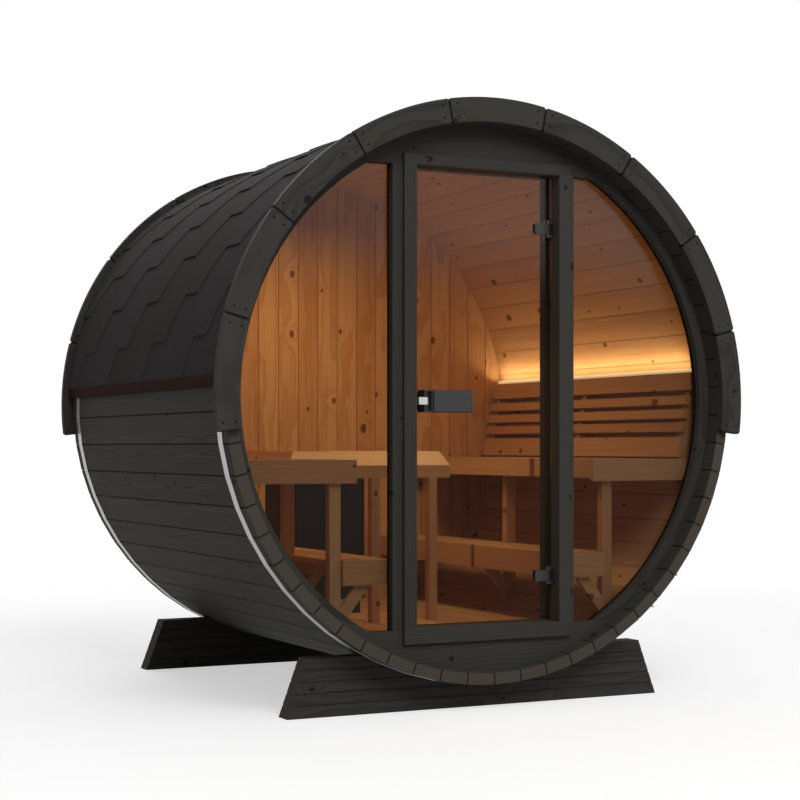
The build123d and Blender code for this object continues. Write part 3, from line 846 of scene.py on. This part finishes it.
@dataclass(frozen=True)
class ClearGlass:
    """A pane: clear, with a slight tint and the reflection of its faces, and a painted reflection that
    grows towards its top.
    """

    tint: Colour = (0.72, 0.695, 0.68, 1.0)
    index: float = 1.45
    mirror: float = 0.12
    # These two add to the mirror share between the rise heights: a painted reflection, stronger at the
    # top of the pane.
    painted_reflection_above: float = 0.5
    rise: tuple[float, float] = (1.45, 1.78)

    def build(self, name: str) -> bpy.types.Material:
        """The material."""
        graph = Graph.of_material(name)
        clear = graph.value("ShaderNodeBsdfTransparent", None, {"Color": self.tint})
        x, y, z = graph.position()
        smear = graph.noise(graph.vector(x * 6, y * 6, z * 3), 3.0)
        gloss = graph.principled(
            {"Base Color": WHITE, "Metallic": 1.0, "Roughness": 0.02 + smear * 0.04}
        )
        facing = graph.value("ShaderNodeFresnel", None, {"IOR": self.index})
        # Painted reflection: the mirror share grows with height towards the top of the pane.
        share = facing * (self.mirror + z.smooth(*self.rise) * self.painted_reflection_above)
        return graph.finish(graph.shader_mix(share, clear, gloss))


@dataclass(frozen=True)
class LitDiffuser:
    """The warm diffuser of the light strip."""

    plastic: Colour = (0.4, 0.36, 0.3, 1.0)
    glow: Colour = linear(238, 205, 146)
    bright: Colour = linear(250, 228, 180)
    strength: float = 1.0

    def build(self, name: str) -> bpy.types.Material:
        """The material."""
        graph = Graph.of_material(name)
        x, y, z = graph.position()
        dots = graph.noise(graph.vector(x, y * 60, z), 1.0)
        return graph.surface(
            {
                "Base Color": self.plastic,
                "Roughness": 0.4,
                "Emission Color": graph.blend(dots * 0.4, self.glow, self.bright),
                "Emission Strength": self.strength,
            }
        )


@dataclass(frozen=True)
class HeaterStone:
    """Dark split rock."""

    dark: Colour = linear(62, 60, 58)
    pale: Colour = linear(112, 108, 102)

    def build(self, name: str) -> bpy.types.Material:
        """The material."""
        graph = Graph.of_material(name)
        grit = graph.noise(graph.vector(*graph.position()), 4.0, 0.65, scale=90.0)
        return graph.surface(
            {
                "Base Color": graph.blend(grit, self.dark, self.pale),
                "Roughness": 0.8 + grit * 0.1,
                "Normal": graph.bump(grit, 0.6, 0.003),
            }
        )


# Modelling helpers


def only(obj: bpy.types.Object) -> None:
    """Deselects everything, then selects and activates one object."""
    bpy.ops.object.select_all(action="DESELECT")
    obj.select_set(True)
    bpy.context.view_layer.objects.active = obj


@contextmanager
def editing(obj: bpy.types.Object) -> Iterator[None]:
    """Edit mode on one object, with nothing selected at first."""
    only(obj)
    bpy.ops.object.mode_set(mode="EDIT")
    bpy.ops.mesh.select_all(action="DESELECT")
    yield
    bpy.ops.object.mode_set(mode="OBJECT")


def primitive(add: Callable[..., set[str]], name: str, **settings: object) -> bpy.types.Object:
    """Adds a mesh primitive, with nothing else selected.

    Args:
        add: The primitive's operator.
        name: The object's name.
        **settings: The operator's settings.

    Returns:
        The new object.
    """
    bpy.ops.object.select_all(action="DESELECT")
    add(**settings)
    bpy.context.object.name = name
    return bpy.context.object


def pick_faces(obj: bpy.types.Object, test: Callable[[bmesh.types.BMFace], bool]) -> None:
    """Selects the faces that pass a test, in edit mode.

    Args:
        obj: The object in edit mode.
        test: True for a face to select.
    """
    bpy.ops.mesh.select_mode(type="FACE")
    mesh = bmesh.from_edit_mesh(obj.data)
    for face in mesh.faces:
        face.select_set(bool(test(face)))
    mesh.select_flush_mode()
    bmesh.update_edit_mesh(obj.data)


def cut(point: Vector, normal: Vector, fill: bool = False) -> None:
    """Cuts away all that lies beyond a plane, in edit mode.

    Args:
        point: A point of the plane.
        normal: Points to what is cut away.
        fill: Whether the cut is closed.
    """
    bpy.ops.mesh.select_all(action="SELECT")
    bpy.ops.mesh.bisect(plane_co=point, plane_no=normal, clear_outer=True, use_fill=fill)


def trim(obj: bpy.types.Object, point: Vector, normal: Vector) -> None:
    """Cuts away all of an object that lies beyond a plane, and leaves the cut open."""
    with editing(obj):
        cut(point, normal)


def recess(obj: bpy.types.Object, side: int, least_area: float, margin: float, depth: float) -> None:
    """Sinks a field into the large face on the front or the back of a piece.

    Args:
        obj: The piece.
        side: -1 for the front, 1 for the back.
        least_area: Area over which a face counts as large.
        margin: Width of the rim that stays.
        depth: How far the field goes in.
    """
    with editing(obj):
        pick_faces(obj, lambda f: f.normal.y * side > 0.99 and f.calc_area() > least_area)
        bpy.ops.mesh.inset(thickness=margin)
        bpy.ops.mesh.extrude_region_move(TRANSFORM_OT_translate={"value": (0, -side * depth, 0)})


def settle(obj: bpy.types.Object) -> None:
    """Puts an object's place, turn and scale into its mesh."""
    only(obj)
    bpy.ops.object.transform_apply(location=True, rotation=True, scale=True)


def modify(obj: bpy.types.Object, kind: str, **settings: object) -> None:
    """Adds a modifier and applies it.

    Args:
        obj: The object.
        kind: The modifier's type.
        **settings: The modifier's properties.
    """
    only(obj)
    modifier = obj.modifiers.new(kind.lower(), kind)
    for name, value in settings.items():
        setattr(modifier, name, value)
    bpy.ops.object.modifier_apply(modifier=modifier.name)


def copy_of(obj: bpy.types.Object, matrix: Matrix) -> bpy.types.Object:
    """A copy with its own mesh, moved by a matrix.

    Args:
        obj: The object that is modelled once.
        matrix: Where the copy goes.

    Returns:
        The copy.
    """
    twin = obj.copy()
    twin.data = obj.data.copy()
    twin.data.transform(matrix)
    bpy.context.scene.collection.objects.link(twin)
    return twin


def joined(parts: Sequence[bpy.types.Object], name: str) -> bpy.types.Object:
    """Joins objects into one.

    Args:
        parts: The objects.
        name: The name of the joined object.

    Returns:
        The joined object.
    """
    only(parts[0])
    for part in parts:
        part.select_set(True)
    bpy.ops.object.join()
    parts[0].name = name
    parts[0].data.name = name
    return parts[0]


def block(name: str, low: Sequence[float], high: Sequence[float], bevel: float) -> bpy.types.Object:
    """A block between two corners with rounded edges.

    Args:
        name: The object's name.
        low: Lowest corner.
        high: Highest corner.
        bevel: Radius of the edges.

    Returns:
        The block.
    """
    centre = [(a + b) / 2 for a, b in zip(low, high)]
    obj = primitive(bpy.ops.mesh.primitive_cube_add, name, size=1.0, location=centre)
    obj.scale = [b - a for a, b in zip(low, high)]
    settle(obj)
    modify(obj, "BEVEL", width=bevel, segments=3, limit_method="ANGLE")
    return obj


def finish_piece(
    obj: bpy.types.Object, material: bpy.types.Material, body: str, slot: str, *stands_for: str
) -> None:
    """Gives a new piece its material and body, hides the nodes that it stands for, and reports it.

    Args:
        obj: The piece.
        material: Its finish.
        body: The body it rides on.
        slot: Not used.
        *stands_for: The CAD nodes that it replaces.
    """
    obj.data.materials.clear()
    obj.data.materials.append(material)
    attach(obj, body)
    if stands_for:
        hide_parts(*stands_for)
    LOG.info("piece %s: %d faces on %s", obj.name, len(obj.data.polygons), body)


def mark_course(obj: bpy.types.Object, number: int) -> None:
    """Writes a shingle course's number on all its faces, for its colour."""
    mark = obj.data.attributes.new("course", "FLOAT", "FACE")
    mark.data.foreach_set("value", [float(number)] * len(obj.data.polygons))


# Sub-assemblies


@dataclass
class Roofing:
    """Hexagonal shingles in courses from both eaves, with ridge caps.

    Angles are in degrees over the right horizon, and sizes in metres. A lift is the height
    over the base radius at the lower and the upper edge of a patch.

    Attributes:
        base_radius: The underlay's outside.
        eave_angle: The roof's lower edge.
        first_angle: The lower edge of the first whole course.
        exposure: What shows of a course.
        lap: What its hidden strip covers beyond the next course.
        courses: Whole courses on a side.
        facet: The most that a face turns.
        flat: Length of a tab's lower edge.
        slant: What a tab's slanting edge takes along the eave.
        thickness: Of the shingle.
        starter_lift: Of the strip under the first course.
        tab_lift: Of a tab.
        strip_lift: Of the hidden strip above the tabs.
        caps: Ridge caps.
        cap_sweep: What a cap covers over the ridge.
        cap_lap: A cap's length against the pitch of the caps.
        cap_lift: Of a cap.
        cap_fall: What a cap falls to lie under the one before it.
        end_gap: From the cut ends to the stave ends.
    """

    base_radius: float = 1.0527
    eave_angle: float = 3.8
    first_angle: float = 11.5
    exposure: float = 9.35
    lap: float = 0.6
    courses: int = 8
    facet: float = 2.4
    flat: float = 0.130
    slant: float = 0.090
    thickness: float = 0.0042
    starter_lift: tuple[float, float] = (0.0058, 0.0030)
    tab_lift: tuple[float, float] = (0.0096, 0.0062)
    strip_lift: tuple[float, float] = (0.0056, 0.0030)
    caps: int = 8
    cap_sweep: float = 13.6
    cap_lap: float = 1.12
    cap_lift: tuple[float, float] = (0.0105, 0.0105)
    cap_fall: float = 0.0022
    end_gap: float = 0.0005

    def spin_patch(
        self,
        name: str,
        start: float,
        sweep: float,
        lift: tuple[float, float],
        ends: tuple[float, float] = (-HALF_LENGTH, HALF_LENGTH),
        cuts: int = 7,
    ) -> bpy.types.Object:
        """A curved patch that is spun from a straight edge.

        Args:
            name: The object's name.
            start: Angle of the lower edge.
            sweep: Angle it covers.
            lift: Its lifts.
            ends: Front and rear end.
            cuts: Cuts along its length.

        Returns:
            The patch, one face thick.
        """
        middle = math.radians(start + sweep / 2)
        shift = (lift[0] - lift[1]) / 2 / math.sin(math.radians(sweep / 2))
        centre = Vector((math.sin(middle), 0, -math.cos(middle))) * shift
        centre.z += AXIS_HEIGHT
        radius = self.base_radius + lift[0]
        angle = math.radians(start)
        edge = Vector((radius * math.cos(angle), 0, AXIS_HEIGHT + radius * math.sin(angle)))
        obj = primitive(bpy.ops.mesh.primitive_plane_add, name, size=1.0, location=(0, 0, 0))
        with editing(obj):
            mesh = bmesh.from_edit_mesh(obj.data)
            bmesh.ops.delete(mesh, geom=[v for v in mesh.verts if v.co.x > 0], context="VERTS")
            for vertex in mesh.verts:
                vertex.co = Vector((edge.x, ends[0] if vertex.co.y < 0 else ends[1], edge.z))
            bmesh.update_edit_mesh(obj.data)
            bpy.ops.mesh.select_all(action="SELECT")
            bpy.ops.mesh.subdivide(number_cuts=cuts)
            bpy.ops.mesh.select_all(action="SELECT")
            bpy.ops.mesh.spin(
                steps=max(2, round(sweep / self.facet)),
                angle=math.radians(sweep),
                center=centre,
                axis=(0, 1, 0),
            )
        return obj

    def tab(self) -> bpy.types.Object:
        """One tab with its lower edge at angle 0 and its middle at y 0."""
        half = self.flat / 2 + self.slant
        tab = self.spin_patch("tab", 0.0, self.exposure, self.tab_lift, (-half, half), cuts=1)
        rise = math.radians(self.exposure) * self.base_radius
        for side in (-1, 1):
            point = Vector((self.base_radius, side * self.flat / 2, AXIS_HEIGHT))
            trim(tab, point, Vector((0, side * rise, -self.slant)).normalized())
        return tab

    def side_course(self, tab: bpy.types.Object, number: int) -> list[bpy.types.Object]:
        """The tabs and the hidden strip of one course on the right.

        Args:
            tab: The tab that is copied.
            number: The course; -1 is the one that the eave cuts off.

        Returns:
            The pieces of the course.
        """
        angle = self.first_angle + number * self.exposure
        axis = Matrix.Translation((0, 0, AXIS_HEIGHT))
        about = axis @ Matrix.Rotation(-math.radians(angle), 4, "Y") @ axis.inverted()
        reach = math.ceil(2 * HALF_LENGTH / SHINGLE_PERIOD)
        parts = []
        for step in range(-reach, reach + 1):
            y = SHINGLE_CENTRES[number % 2] + step * SHINGLE_PERIOD
            if abs(y) < HALF_LENGTH + SHINGLE_PERIOD / 2:
                parts.append(copy_of(tab, about @ Matrix.Translation((0, y, 0))))
        upper = angle + self.exposure
        parts.append(self.spin_patch("strip", upper, self.exposure + self.lap, self.strip_lift))
        for part in parts:
            mark_course(part, number + 2)
        return parts

    def ridge_cap(self, place: int) -> bpy.types.Object:
        """A ridge cap, which lies over the next one.

        Args:
            place: Its place from the front.

        Returns:
            The cap, one face thick.
        """
        length = 2 * HALF_LENGTH / self.caps
        front = -HALF_LENGTH + place * length
        ends = (front, min(front + length * self.cap_lap, HALF_LENGTH))
        start = 90 - self.cap_sweep / 2
        cap = self.spin_patch("cap", start, self.cap_sweep, self.cap_lift, ends, cuts=1)
        for vertex in cap.data.vertices:
            vertex.co.z -= (vertex.co.y - front) * self.cap_fall / length
        mark_course(cap, place + RIDGE_COURSE)
        return cap

    def looks_in(self, face: bmesh.types.BMFace) -> bool:
        """Whether a face looks towards the barrel's axis."""
        centre = face.calc_center_median()
        return face.normal.dot(Vector((centre.x, 0, centre.z - AXIS_HEIGHT))) < 0

    def build(self) -> None:
        """Lays both sides and the ridge, and cuts the ends flush."""
        tab = self.tab()
        starter_sweep = self.first_angle + self.exposure - self.eave_angle
        parts = [self.spin_patch("starter", self.eave_angle, starter_sweep, self.starter_lift)]
        for number in range(-1, self.courses):
            parts.extend(self.side_course(tab, number))
        bpy.data.objects.remove(tab)
        right = joined(parts, "roof_shingles_right")
        eave = math.radians(self.eave_angle)
        trim(right, Vector((0, 0, AXIS_HEIGHT)), Vector((math.sin(eave), 0, -math.cos(eave))))
        left = copy_of(right, Matrix.Rotation(math.pi, 4, "Z"))
        caps = joined([self.ridge_cap(place) for place in range(self.caps)], "ridge_caps")
        roof = joined([right, left, caps], "roof_shingle_courses")
        for side in (-1, 1):
            trim(roof, Vector((0, side * (HALF_LENGTH - self.end_gap), 0)), Vector((0, side, 0)))
        with editing(roof):
            bpy.ops.mesh.select_all(action="SELECT")
            bpy.ops.mesh.normals_make_consistent(inside=False)
        with editing(roof):
            pick_faces(roof, self.looks_in)
            bpy.ops.mesh.flip_normals()
        modify(roof, "SOLIDIFY", thickness=self.thickness, offset=-1.0)
        shingle = MineralShingle().build("mineral shingle")
        finish_piece(roof, shingle, "cabin", "roofing_shingles", "roof_shingles")


@dataclass
class ScrewHeads:
    """Flat screw heads with a sunk drive. Rim and slope are shares of the radius."""

    radius: float = 0.0042
    height: float = 0.0007
    rim: float = 0.18
    slope: float = 0.42
    sink: float = 0.7

    def master(self) -> bpy.types.Object:
        """One head that faces the front, with its seat at the origin."""
        middle = (0, 0, self.height / 2)
        add = bpy.ops.mesh.primitive_cylinder_add
        head = primitive(
            add, "screw_head", vertices=16, radius=self.radius, depth=self.height, location=middle
        )
        drop = (0, 0, -self.height * self.sink)
        with editing(head):
            pick_faces(head, lambda f: f.normal.z > 0.9)
            bpy.ops.mesh.inset(thickness=self.radius * self.rim)
            bpy.ops.mesh.inset(thickness=self.radius * self.slope)
            bpy.ops.mesh.extrude_region_move(TRANSFORM_OT_translate={"value": drop})
        head.data.transform(Matrix.Rotation(math.radians(90), 4, "X"))
        return head

    def drive(
        self, name: str, places: Sequence[Sequence[float]], body: str, material: bpy.types.Material
    ) -> None:
        """Copies the head to each place, facing the front.

        Args:
            name: The name of the joined piece.
            places: Where each head is seated.
            body: The body that the heads ride on.
            material: Their finish.
        """
        head = self.master()
        heads = [copy_of(head, Matrix.Translation(place)) for place in places]
        bpy.data.objects.remove(head)
        finish_piece(joined(heads, name), material, body, "hinge_metal")


@dataclass
class DoorFurniture:
    """The lock case, grip, latch and inside handle of the glass door, and the clamp screws."""

    black: bpy.types.Material
    steel: bpy.types.Material
    grip_bevel: float = 0.0045
    case_bevel: float = 0.0025
    latch_bevel: float = 0.0012
    case_width: float = 0.035
    case_setback: float = 0.0045
    half_seam: float = 0.0008
    large: float = 0.0005
    clamp_screws: tuple[float, float] = (0.2435, 0.2655)

    def outside(self) -> None:
        """Models the outside lock case and grip in place of the plain one."""
        low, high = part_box("door_handle_outside")
        seam = low.x + self.case_width
        case_front = low.y + self.case_setback
        case_end = seam - self.half_seam
        case = block("lock_case", (low.x, case_front, low.z), (case_end, high.y, high.z), self.case_bevel)
        recess(case, -1, self.large, margin=0.0025, depth=0.018)
        stand_off = 0.012
        grip = block(
            "grip",
            (seam + self.half_seam, low.y, low.z),
            (high.x, high.y - stand_off, high.z),
            self.grip_bevel,
        )
        recess(grip, -1, self.large, margin=0.0035, depth=0.0008)
        inset, lap = 0.004, 0.002
        base = block(
            "grip_base",
            (seam - lap, high.y - stand_off - lap, low.z + inset),
            (high.x - inset, high.y, high.z - inset),
            self.case_bevel,
        )
        handle = joined([case, grip, base], "outside_handle")
        finish_piece(handle, self.black, "door", "handle_metal", "door_handle_outside")

    def latch(self) -> None:
        """Models the latch: its tongue, and the face plate that laps over the lock case."""
        low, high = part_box("door_latch")
        case_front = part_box("door_handle_outside")[0].y + self.case_setback
        inset, thin, start = 0.003, 0.004, low.x + 0.006
        tongue = block(
            "tongue",
            (low.x, low.y, low.z + thin),
            (high.x - 0.0005, high.y, high.z - thin),
            self.latch_bevel,
        )
        neck = block(
            "neck",
            (start, case_front - 0.0016, low.z + inset),
            (high.x - 0.0008, high.y - 0.002, high.z - inset),
            0.0015,
        )
        plate = block(
            "plate",
            (start, case_front - 0.0024, low.z + inset),
            (high.x + 0.012, case_front + 0.007, high.z - inset),
            self.latch_bevel,
        )
        recess(plate, -1, 0.0002, margin=0.0025, depth=0.0007)
        latch = joined([tongue, neck, plate], "latch")
        finish_piece(latch, self.steel, "door", "latch_steel", "door_latch")

    def inside(self) -> None:
        """Models the inside handle in place of the plain one."""
        low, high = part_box("door_handle_inside")
        inset, thickness, lap = 0.006, 0.010, 0.002
        plate = block("plate", low, (high.x, low.y + thickness, high.z), self.case_bevel)
        bar = block(
            "bar",
            (low.x + inset, low.y + thickness - lap, low.z + inset),
            (high.x, high.y, high.z - inset),
            self.grip_bevel,
        )
        recess(bar, 1, self.large, margin=0.004, depth=0.0012)
        handle = joined([plate, bar], "inside_handle")
        finish_piece(handle, self.black, "door", "handle_metal", "door_handle_inside")

    def screws(self) -> None:
        """Two screws in each hinge clamp, a bit off its end."""
        low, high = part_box("hinge_clamps")
        from_end, seat = 0.020, low.y + 0.0001
        heights = (low.z + from_end, high.z - from_end)
        places = [(x, seat, z) for z in heights for x in self.clamp_screws]
        ScrewHeads(0.0035, 0.0012).drive("clamp_screws", places, "door", self.black)

    def build(self) -> None:
        """Makes all the door's furniture."""
        self.outside()
        self.latch()
        self.inside()
        self.screws()


@dataclass
class HeaterStones:
    """Split stones heaped in the heater's tray.

    A stone's flat faces are at split_at times its radius. Each layer is moved over the one
    below by the offset, which is in columns and rows.
    """

    stone_radius: float = 0.031
    shapes: int = 3
    splits: int = 5
    split_at: float = 0.78
    layers: int = 2
    rows: int = 4
    columns: int = 4
    rim: float = 0.045
    half_pitch: float = 0.02
    offset: tuple[float, float] = (0.25, 0.3)
    sunk: float = 0.075
    layer_height: float = 0.045
    uneven: float = 0.006

    def master(self, number: int) -> bpy.types.Object:
        """One rough stone at the origin, of the shape with the given number."""
        add = bpy.ops.mesh.primitive_ico_sphere_add
        stone = primitive(add, "stone", subdivisions=2, radius=self.stone_radius)
        with editing(stone):
            for turn in range(self.splits):
                angle = turn * 2.4 + number * 1.3
                normal = Vector((math.cos(angle), math.sin(angle), math.sin(angle * 1.7 + number)))
                normal.normalize()
                cut(normal * self.stone_radius * self.split_at, normal, fill=True)
        modify(stone, "BEVEL", width=0.0018, segments=1, limit_method="ANGLE")
        return stone

    def place(self, layer: int, row: int, column: int, number: int) -> Matrix:
        """Where a stone lies, and how it is turned.

        Args:
            layer: Its layer, from below.
            row: Its row, from the front.
            column: Its place in the row.
            number: Its number in the heap, which turns and lifts it.

        Returns:
            The matrix that moves it there from the origin.
        """
        low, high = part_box("heater")
        across = (column + self.offset[0] * layer) / self.columns
        along = (row + self.offset[1] * layer) / self.rows
        x = low.x + self.rim + (high.x - low.x - 2 * self.rim) * across + self.half_pitch
        y = low.y + self.rim + (high.y - low.y - 2 * self.rim) * along + self.half_pitch
        lift = self.uneven * math.sin(number * 2.2)
        z = high.z - self.sunk + layer * self.layer_height + lift
        axis = Vector((math.sin(number), 1, 0.4)).normalized()
        return Matrix.Translation((x, y, z)) @ Matrix.Rotation(number * 1.9, 4, axis)

    def build(self) -> None:
        """Heaps the layers of stones in the tray."""
        masters = [self.master(number) for number in range(self.shapes)]
        spots = product(range(self.layers), range(self.rows), range(self.columns))
        stones = [
            copy_of(masters[number % self.shapes], self.place(*spot, number))
            for number, spot in enumerate(spots)
        ]
        for stone in masters:
            bpy.data.objects.remove(stone)
        heap = joined(stones, "heater_stones")
        finish_piece(heap, HeaterStone().build("heater stone"), "cabin", "heater_metal")


def casing_screws() -> list[tuple[float, float, float]]:
    """Where the screws of the casing's stiles and rails are seated."""
    stiles = {-0.327: (0.648, 1.095, 1.757), 0.334: (0.56, 1.198, 1.79)}
    rail_heights, rail_screws = (0.273, 1.984), (-0.25, 0.009, 0.27)
    places = [(x, CASING_FRONT, z) for x, heights in stiles.items() for z in heights]
    return places + [(x, CASING_FRONT, z) for z in rail_heights for x in rail_screws]


# Which node gets which finish, by how its name starts

BLACK = "black powder coat"
STEEL = "latch steel"
PLAIN: Mapping[str, tuple[Metal | ClearGlass | MineralShingle | LitDiffuser, tuple[str, ...]]] = {
    "band steel": (Metal(linear(176, 176, 172), 1.0, 0.34, (12.0, 160.0, 12.0)), ("band_",)),
    BLACK: (Metal(linear(46, 46, 47), 0.35, 0.42), ("hinge_", "door_handle")),
    STEEL: (Metal(linear(206, 206, 204), 1.0, 0.24), ("door_latch",)),
    "clear glass": (ClearGlass(), ("windows", "door_glass")),
    "roof underlay": (MineralShingle(), ("roof_underlay",)),
    "lit diffuser": (LitDiffuser(), ("light_strip",)),
    "heater paint": (Metal(linear(52, 52, 52), 0.5, 0.5), ("heater",)),
}
WOODS: Mapping[str, Wood] = {
    "stained": StainedWood(),
    "natural": NaturalWood(),
    "lined": LinedWood(),
    # Russet stain on the eave battens, darkened further as painted shade under the shingles' lower edge.
    "russet_painted_shade": StainedWood(
        ground=linear(38, 20, 12),
        late=linear(26, 13, 8),
        worn=linear(58, 33, 19),
        brown=linear(50, 27, 15),
        shine=0.01,
    ),
    "fresh": NaturalWood(
        early=linear(234, 192, 138), late=linear(210, 158, 100), red=linear(216, 162, 104)
    ),
}
BOARDS: Mapping[str, tuple[str, Layout]] = {
    "staves_": ("lined", Layout.STAVES),
    "rear_wall": ("lined", Layout.REAR_WALL),
    "fascia_": ("stained", Layout.FASCIA),
    "wall_rims": ("stained", Layout.RIMS),
    "wall_arch_boards": ("stained", Layout.LEVEL),
    "wall_posts": ("stained", Layout.UPRIGHT),
    "door_jambs": ("stained", Layout.UPRIGHT),
    "door_head_and_threshold": ("stained", Layout.LEVEL),
    "casing_stiles": ("stained", Layout.UPRIGHT),
    "casing_rails": ("stained", Layout.LEVEL),
    "cradle_": ("stained", Layout.CRADLE),
    "floor_boards": ("natural", Layout.FLOOR),
    "floor_bearers": ("natural", Layout.LEVEL),
    "upper_bench": ("natural", Layout.UPPER_BENCH),
    "lower_bench": ("natural", Layout.LOWER_BENCH),
    "bench_frame": ("natural", Layout.BENCH_FRAME),
    "backrest_slats": ("natural", Layout.BACKREST),
    "backrest_battens": ("natural", Layout.BATTENS),
    # The eave battens' finish holds painted shade from the shingle edge above them.
    "eave_battens": ("russet_painted_shade", Layout.BATTENS),
    "heater_guard": ("natural", Layout.GUARD),
    "guard_top_boards": ("fresh", Layout.GUARD_BOARDS),
}


@dataclass
class Cabin:
    """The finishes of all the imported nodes.

    Attributes:
        nodes: The nodes by name.
        plain: The materials of metal, glass and roof by name, once they are made.
    """

    nodes: Mapping[str, bpy.types.Object]
    plain: dict[str, bpy.types.Material] = field(default_factory=dict)

    def dress(self, start: str, material: bpy.types.Material) -> None:
        """Gives a material to nodes.

        Args:
            start: How the names of those nodes start.
            material: Their finish.
        """
        for name, obj in self.nodes.items():
            if name.startswith(start):
                for place in obj.material_slots:
                    place.material = material
                LOG.info("node %s: %s", name, material.name)

    def build(self) -> None:
        """Dresses every node, the boards last, because the heater's guard is one of them."""
        for name, (finish, starts) in PLAIN.items():
            self.plain[name] = finish.build(name)
            for start in starts:
                self.dress(start, self.plain[name])
        for start, (wood, layout) in BOARDS.items():
            name = f"{wood} {start.strip('_').replace('_', ' ')}"
            self.dress(start, WOODS[wood].build(name, layout))


@dataclass(frozen=True)
class Lamp:
    """A rectangular lamp that isn't seen itself."""

    name: str
    place: tuple[float, float, float]
    size: tuple[float, float]
    power: float
    target: tuple[float, float, float] = (0.0, 0.0, 1.0)
    colour: tuple[float, float, float] = (1.0, 1.0, 1.0)
    mirrored: bool = True

    def hang(self) -> None:
        """Puts the lamp in its place and turns it to its target."""
        data = bpy.data.lights.new(self.name, "AREA")
        data.shape = "RECTANGLE"
        data.size, data.size_y = self.size
        data.energy = self.power
        data.color = self.colour
        lamp = bpy.data.objects.new(self.name, data)
        bpy.context.scene.collection.objects.link(lamp)
        lamp.location = self.place
        aim = Vector(self.target) - Vector(self.place)
        lamp.rotation_euler = aim.to_track_quat("-Z", "Y").to_euler()
        lamp.visible_camera = False
        lamp.visible_glossy = self.mirrored


LAMPS = (
    Lamp("key", (-1.2, -6.8, 6.4), (4.0, 4.0), 400.0),
    Lamp("fill", (6.0, -4.5, 3.0), (4.0, 4.0), 110.0),
    Lamp("back", (0.5, 6.8, 5.0), (4.0, 3.0), 150.0),
    Lamp("strip_glow", (0.945, 0.0, 1.264), (1.5, 0.02), 3.4, (1.0, 0.0, 1.42), (1.0, 0.82, 0.55), False),
    Lamp("room_glow", (-0.1, -0.1, 1.66), (0.4, 1.0), 12.0, (-0.18, 0.3, 0.5), (1.0, 0.75, 0.44), False),
)


@dataclass
class Studio:
    """Camera, lamps, floor and background."""

    camera_place: tuple[float, float, float] = (-3.166, -6.511, 0.953)
    camera_turn: float = -0.4614
    lens: float = 79.67
    shift: tuple[float, float] = (0.0002, 0.0583)
    sky: float = 0.27
    floor_radius: float = 14.0
    floor_fade: tuple[float, float] = (2.2, 6.0)
    floor_grey: Colour = (0.55, 0.55, 0.55, 1.0)
    floor_lift: float = 0.52

    def camera(self) -> None:
        """Puts the camera where the photograph was taken from."""
        data = bpy.data.cameras.new("camera")
        data.sensor_width = 36.0
        data.lens = self.lens
        data.shift_x, data.shift_y = self.shift
        camera = bpy.data.objects.new("camera", data)
        bpy.context.scene.collection.objects.link(camera)
        camera.location = self.camera_place
        camera.rotation_euler = (math.pi / 2, 0.0, self.camera_turn)
        bpy.context.scene.camera = camera

    def seen(self, graph: Graph) -> Value:
        """1 for what the camera sees, straight or in glass and metal, otherwise 0."""
        path = graph.node("ShaderNodeLightPath")
        kinds = ("Camera", "Glossy", "Transmission")
        rays = [Value(graph, path.outputs[f"Is {kind} Ray"]) for kind in kinds]
        return graph.math("MINIMUM", rays[0] + rays[1] + rays[2], 1.0)

    def background(self) -> None:
        """A world that is white to the eye and soft as a light."""
        world = bpy.data.worlds.new("studio")
        bpy.context.scene.world = world
        graph = Graph(world)
        strength = graph.mix(self.seen(graph), self.sky, 1.0)
        light = graph.value("ShaderNodeBackground", None, {"Color": WHITE, "Strength": strength})
        graph.node("ShaderNodeOutputWorld", None, {"Surface": light})

    def floor(self) -> None:
        """A pale floor that fades into the background."""
        under = (0, 0, -0.0005)
        add = bpy.ops.mesh.primitive_circle_add
        floor = primitive(
            add, "floor", vertices=64, radius=self.floor_radius, fill_type="NGON", location=under
        )
        settle(floor)
        graph = Graph.of_material("pale floor")
        x, y, _ = graph.position()
        far = (x * x + y * y).root().smooth(*self.floor_fade)
        matt = graph.principled({"Base Color": self.floor_grey, "Roughness": 0.9})
        none = graph.value("ShaderNodeEmission", None, {"Strength": 0.0})
        lift = graph.value("ShaderNodeEmission", None, {"Strength": self.floor_lift})
        glow = graph.shader_mix(self.seen(graph), none, lift)
        lit = graph.value("ShaderNodeAddShader", None, {0: matt, 1: glow})
        clear = graph.value("ShaderNodeBsdfTransparent")
        floor.data.materials.append(graph.finish(graph.shader_mix(far, lit, clear)))

    def build(self) -> None:
        """Sets up the background, the floor and the lamps."""
        bpy.context.scene.view_settings.view_transform = "Standard"
        self.background()
        self.floor()
        for lamp in LAMPS:
            lamp.hang()
        LOG.info("studio ready")


def main() -> None:
    """Builds the studio, the finishes and the new pieces."""
    logging.basicConfig(level=logging.INFO, format="%(name)s %(message)s")
    studio = Studio()
    studio.camera()
    cabin = Cabin(frame["nodes"])
    cabin.build()
    Roofing().build()
    DoorFurniture(cabin.plain[BLACK], cabin.plain[STEEL]).build()
    HeaterStones().build()
    ScrewHeads().drive("casing_screws", casing_screws(), "cabin", cabin.plain[BLACK])
    studio.build()


if __name__ == "__main__":
    main()
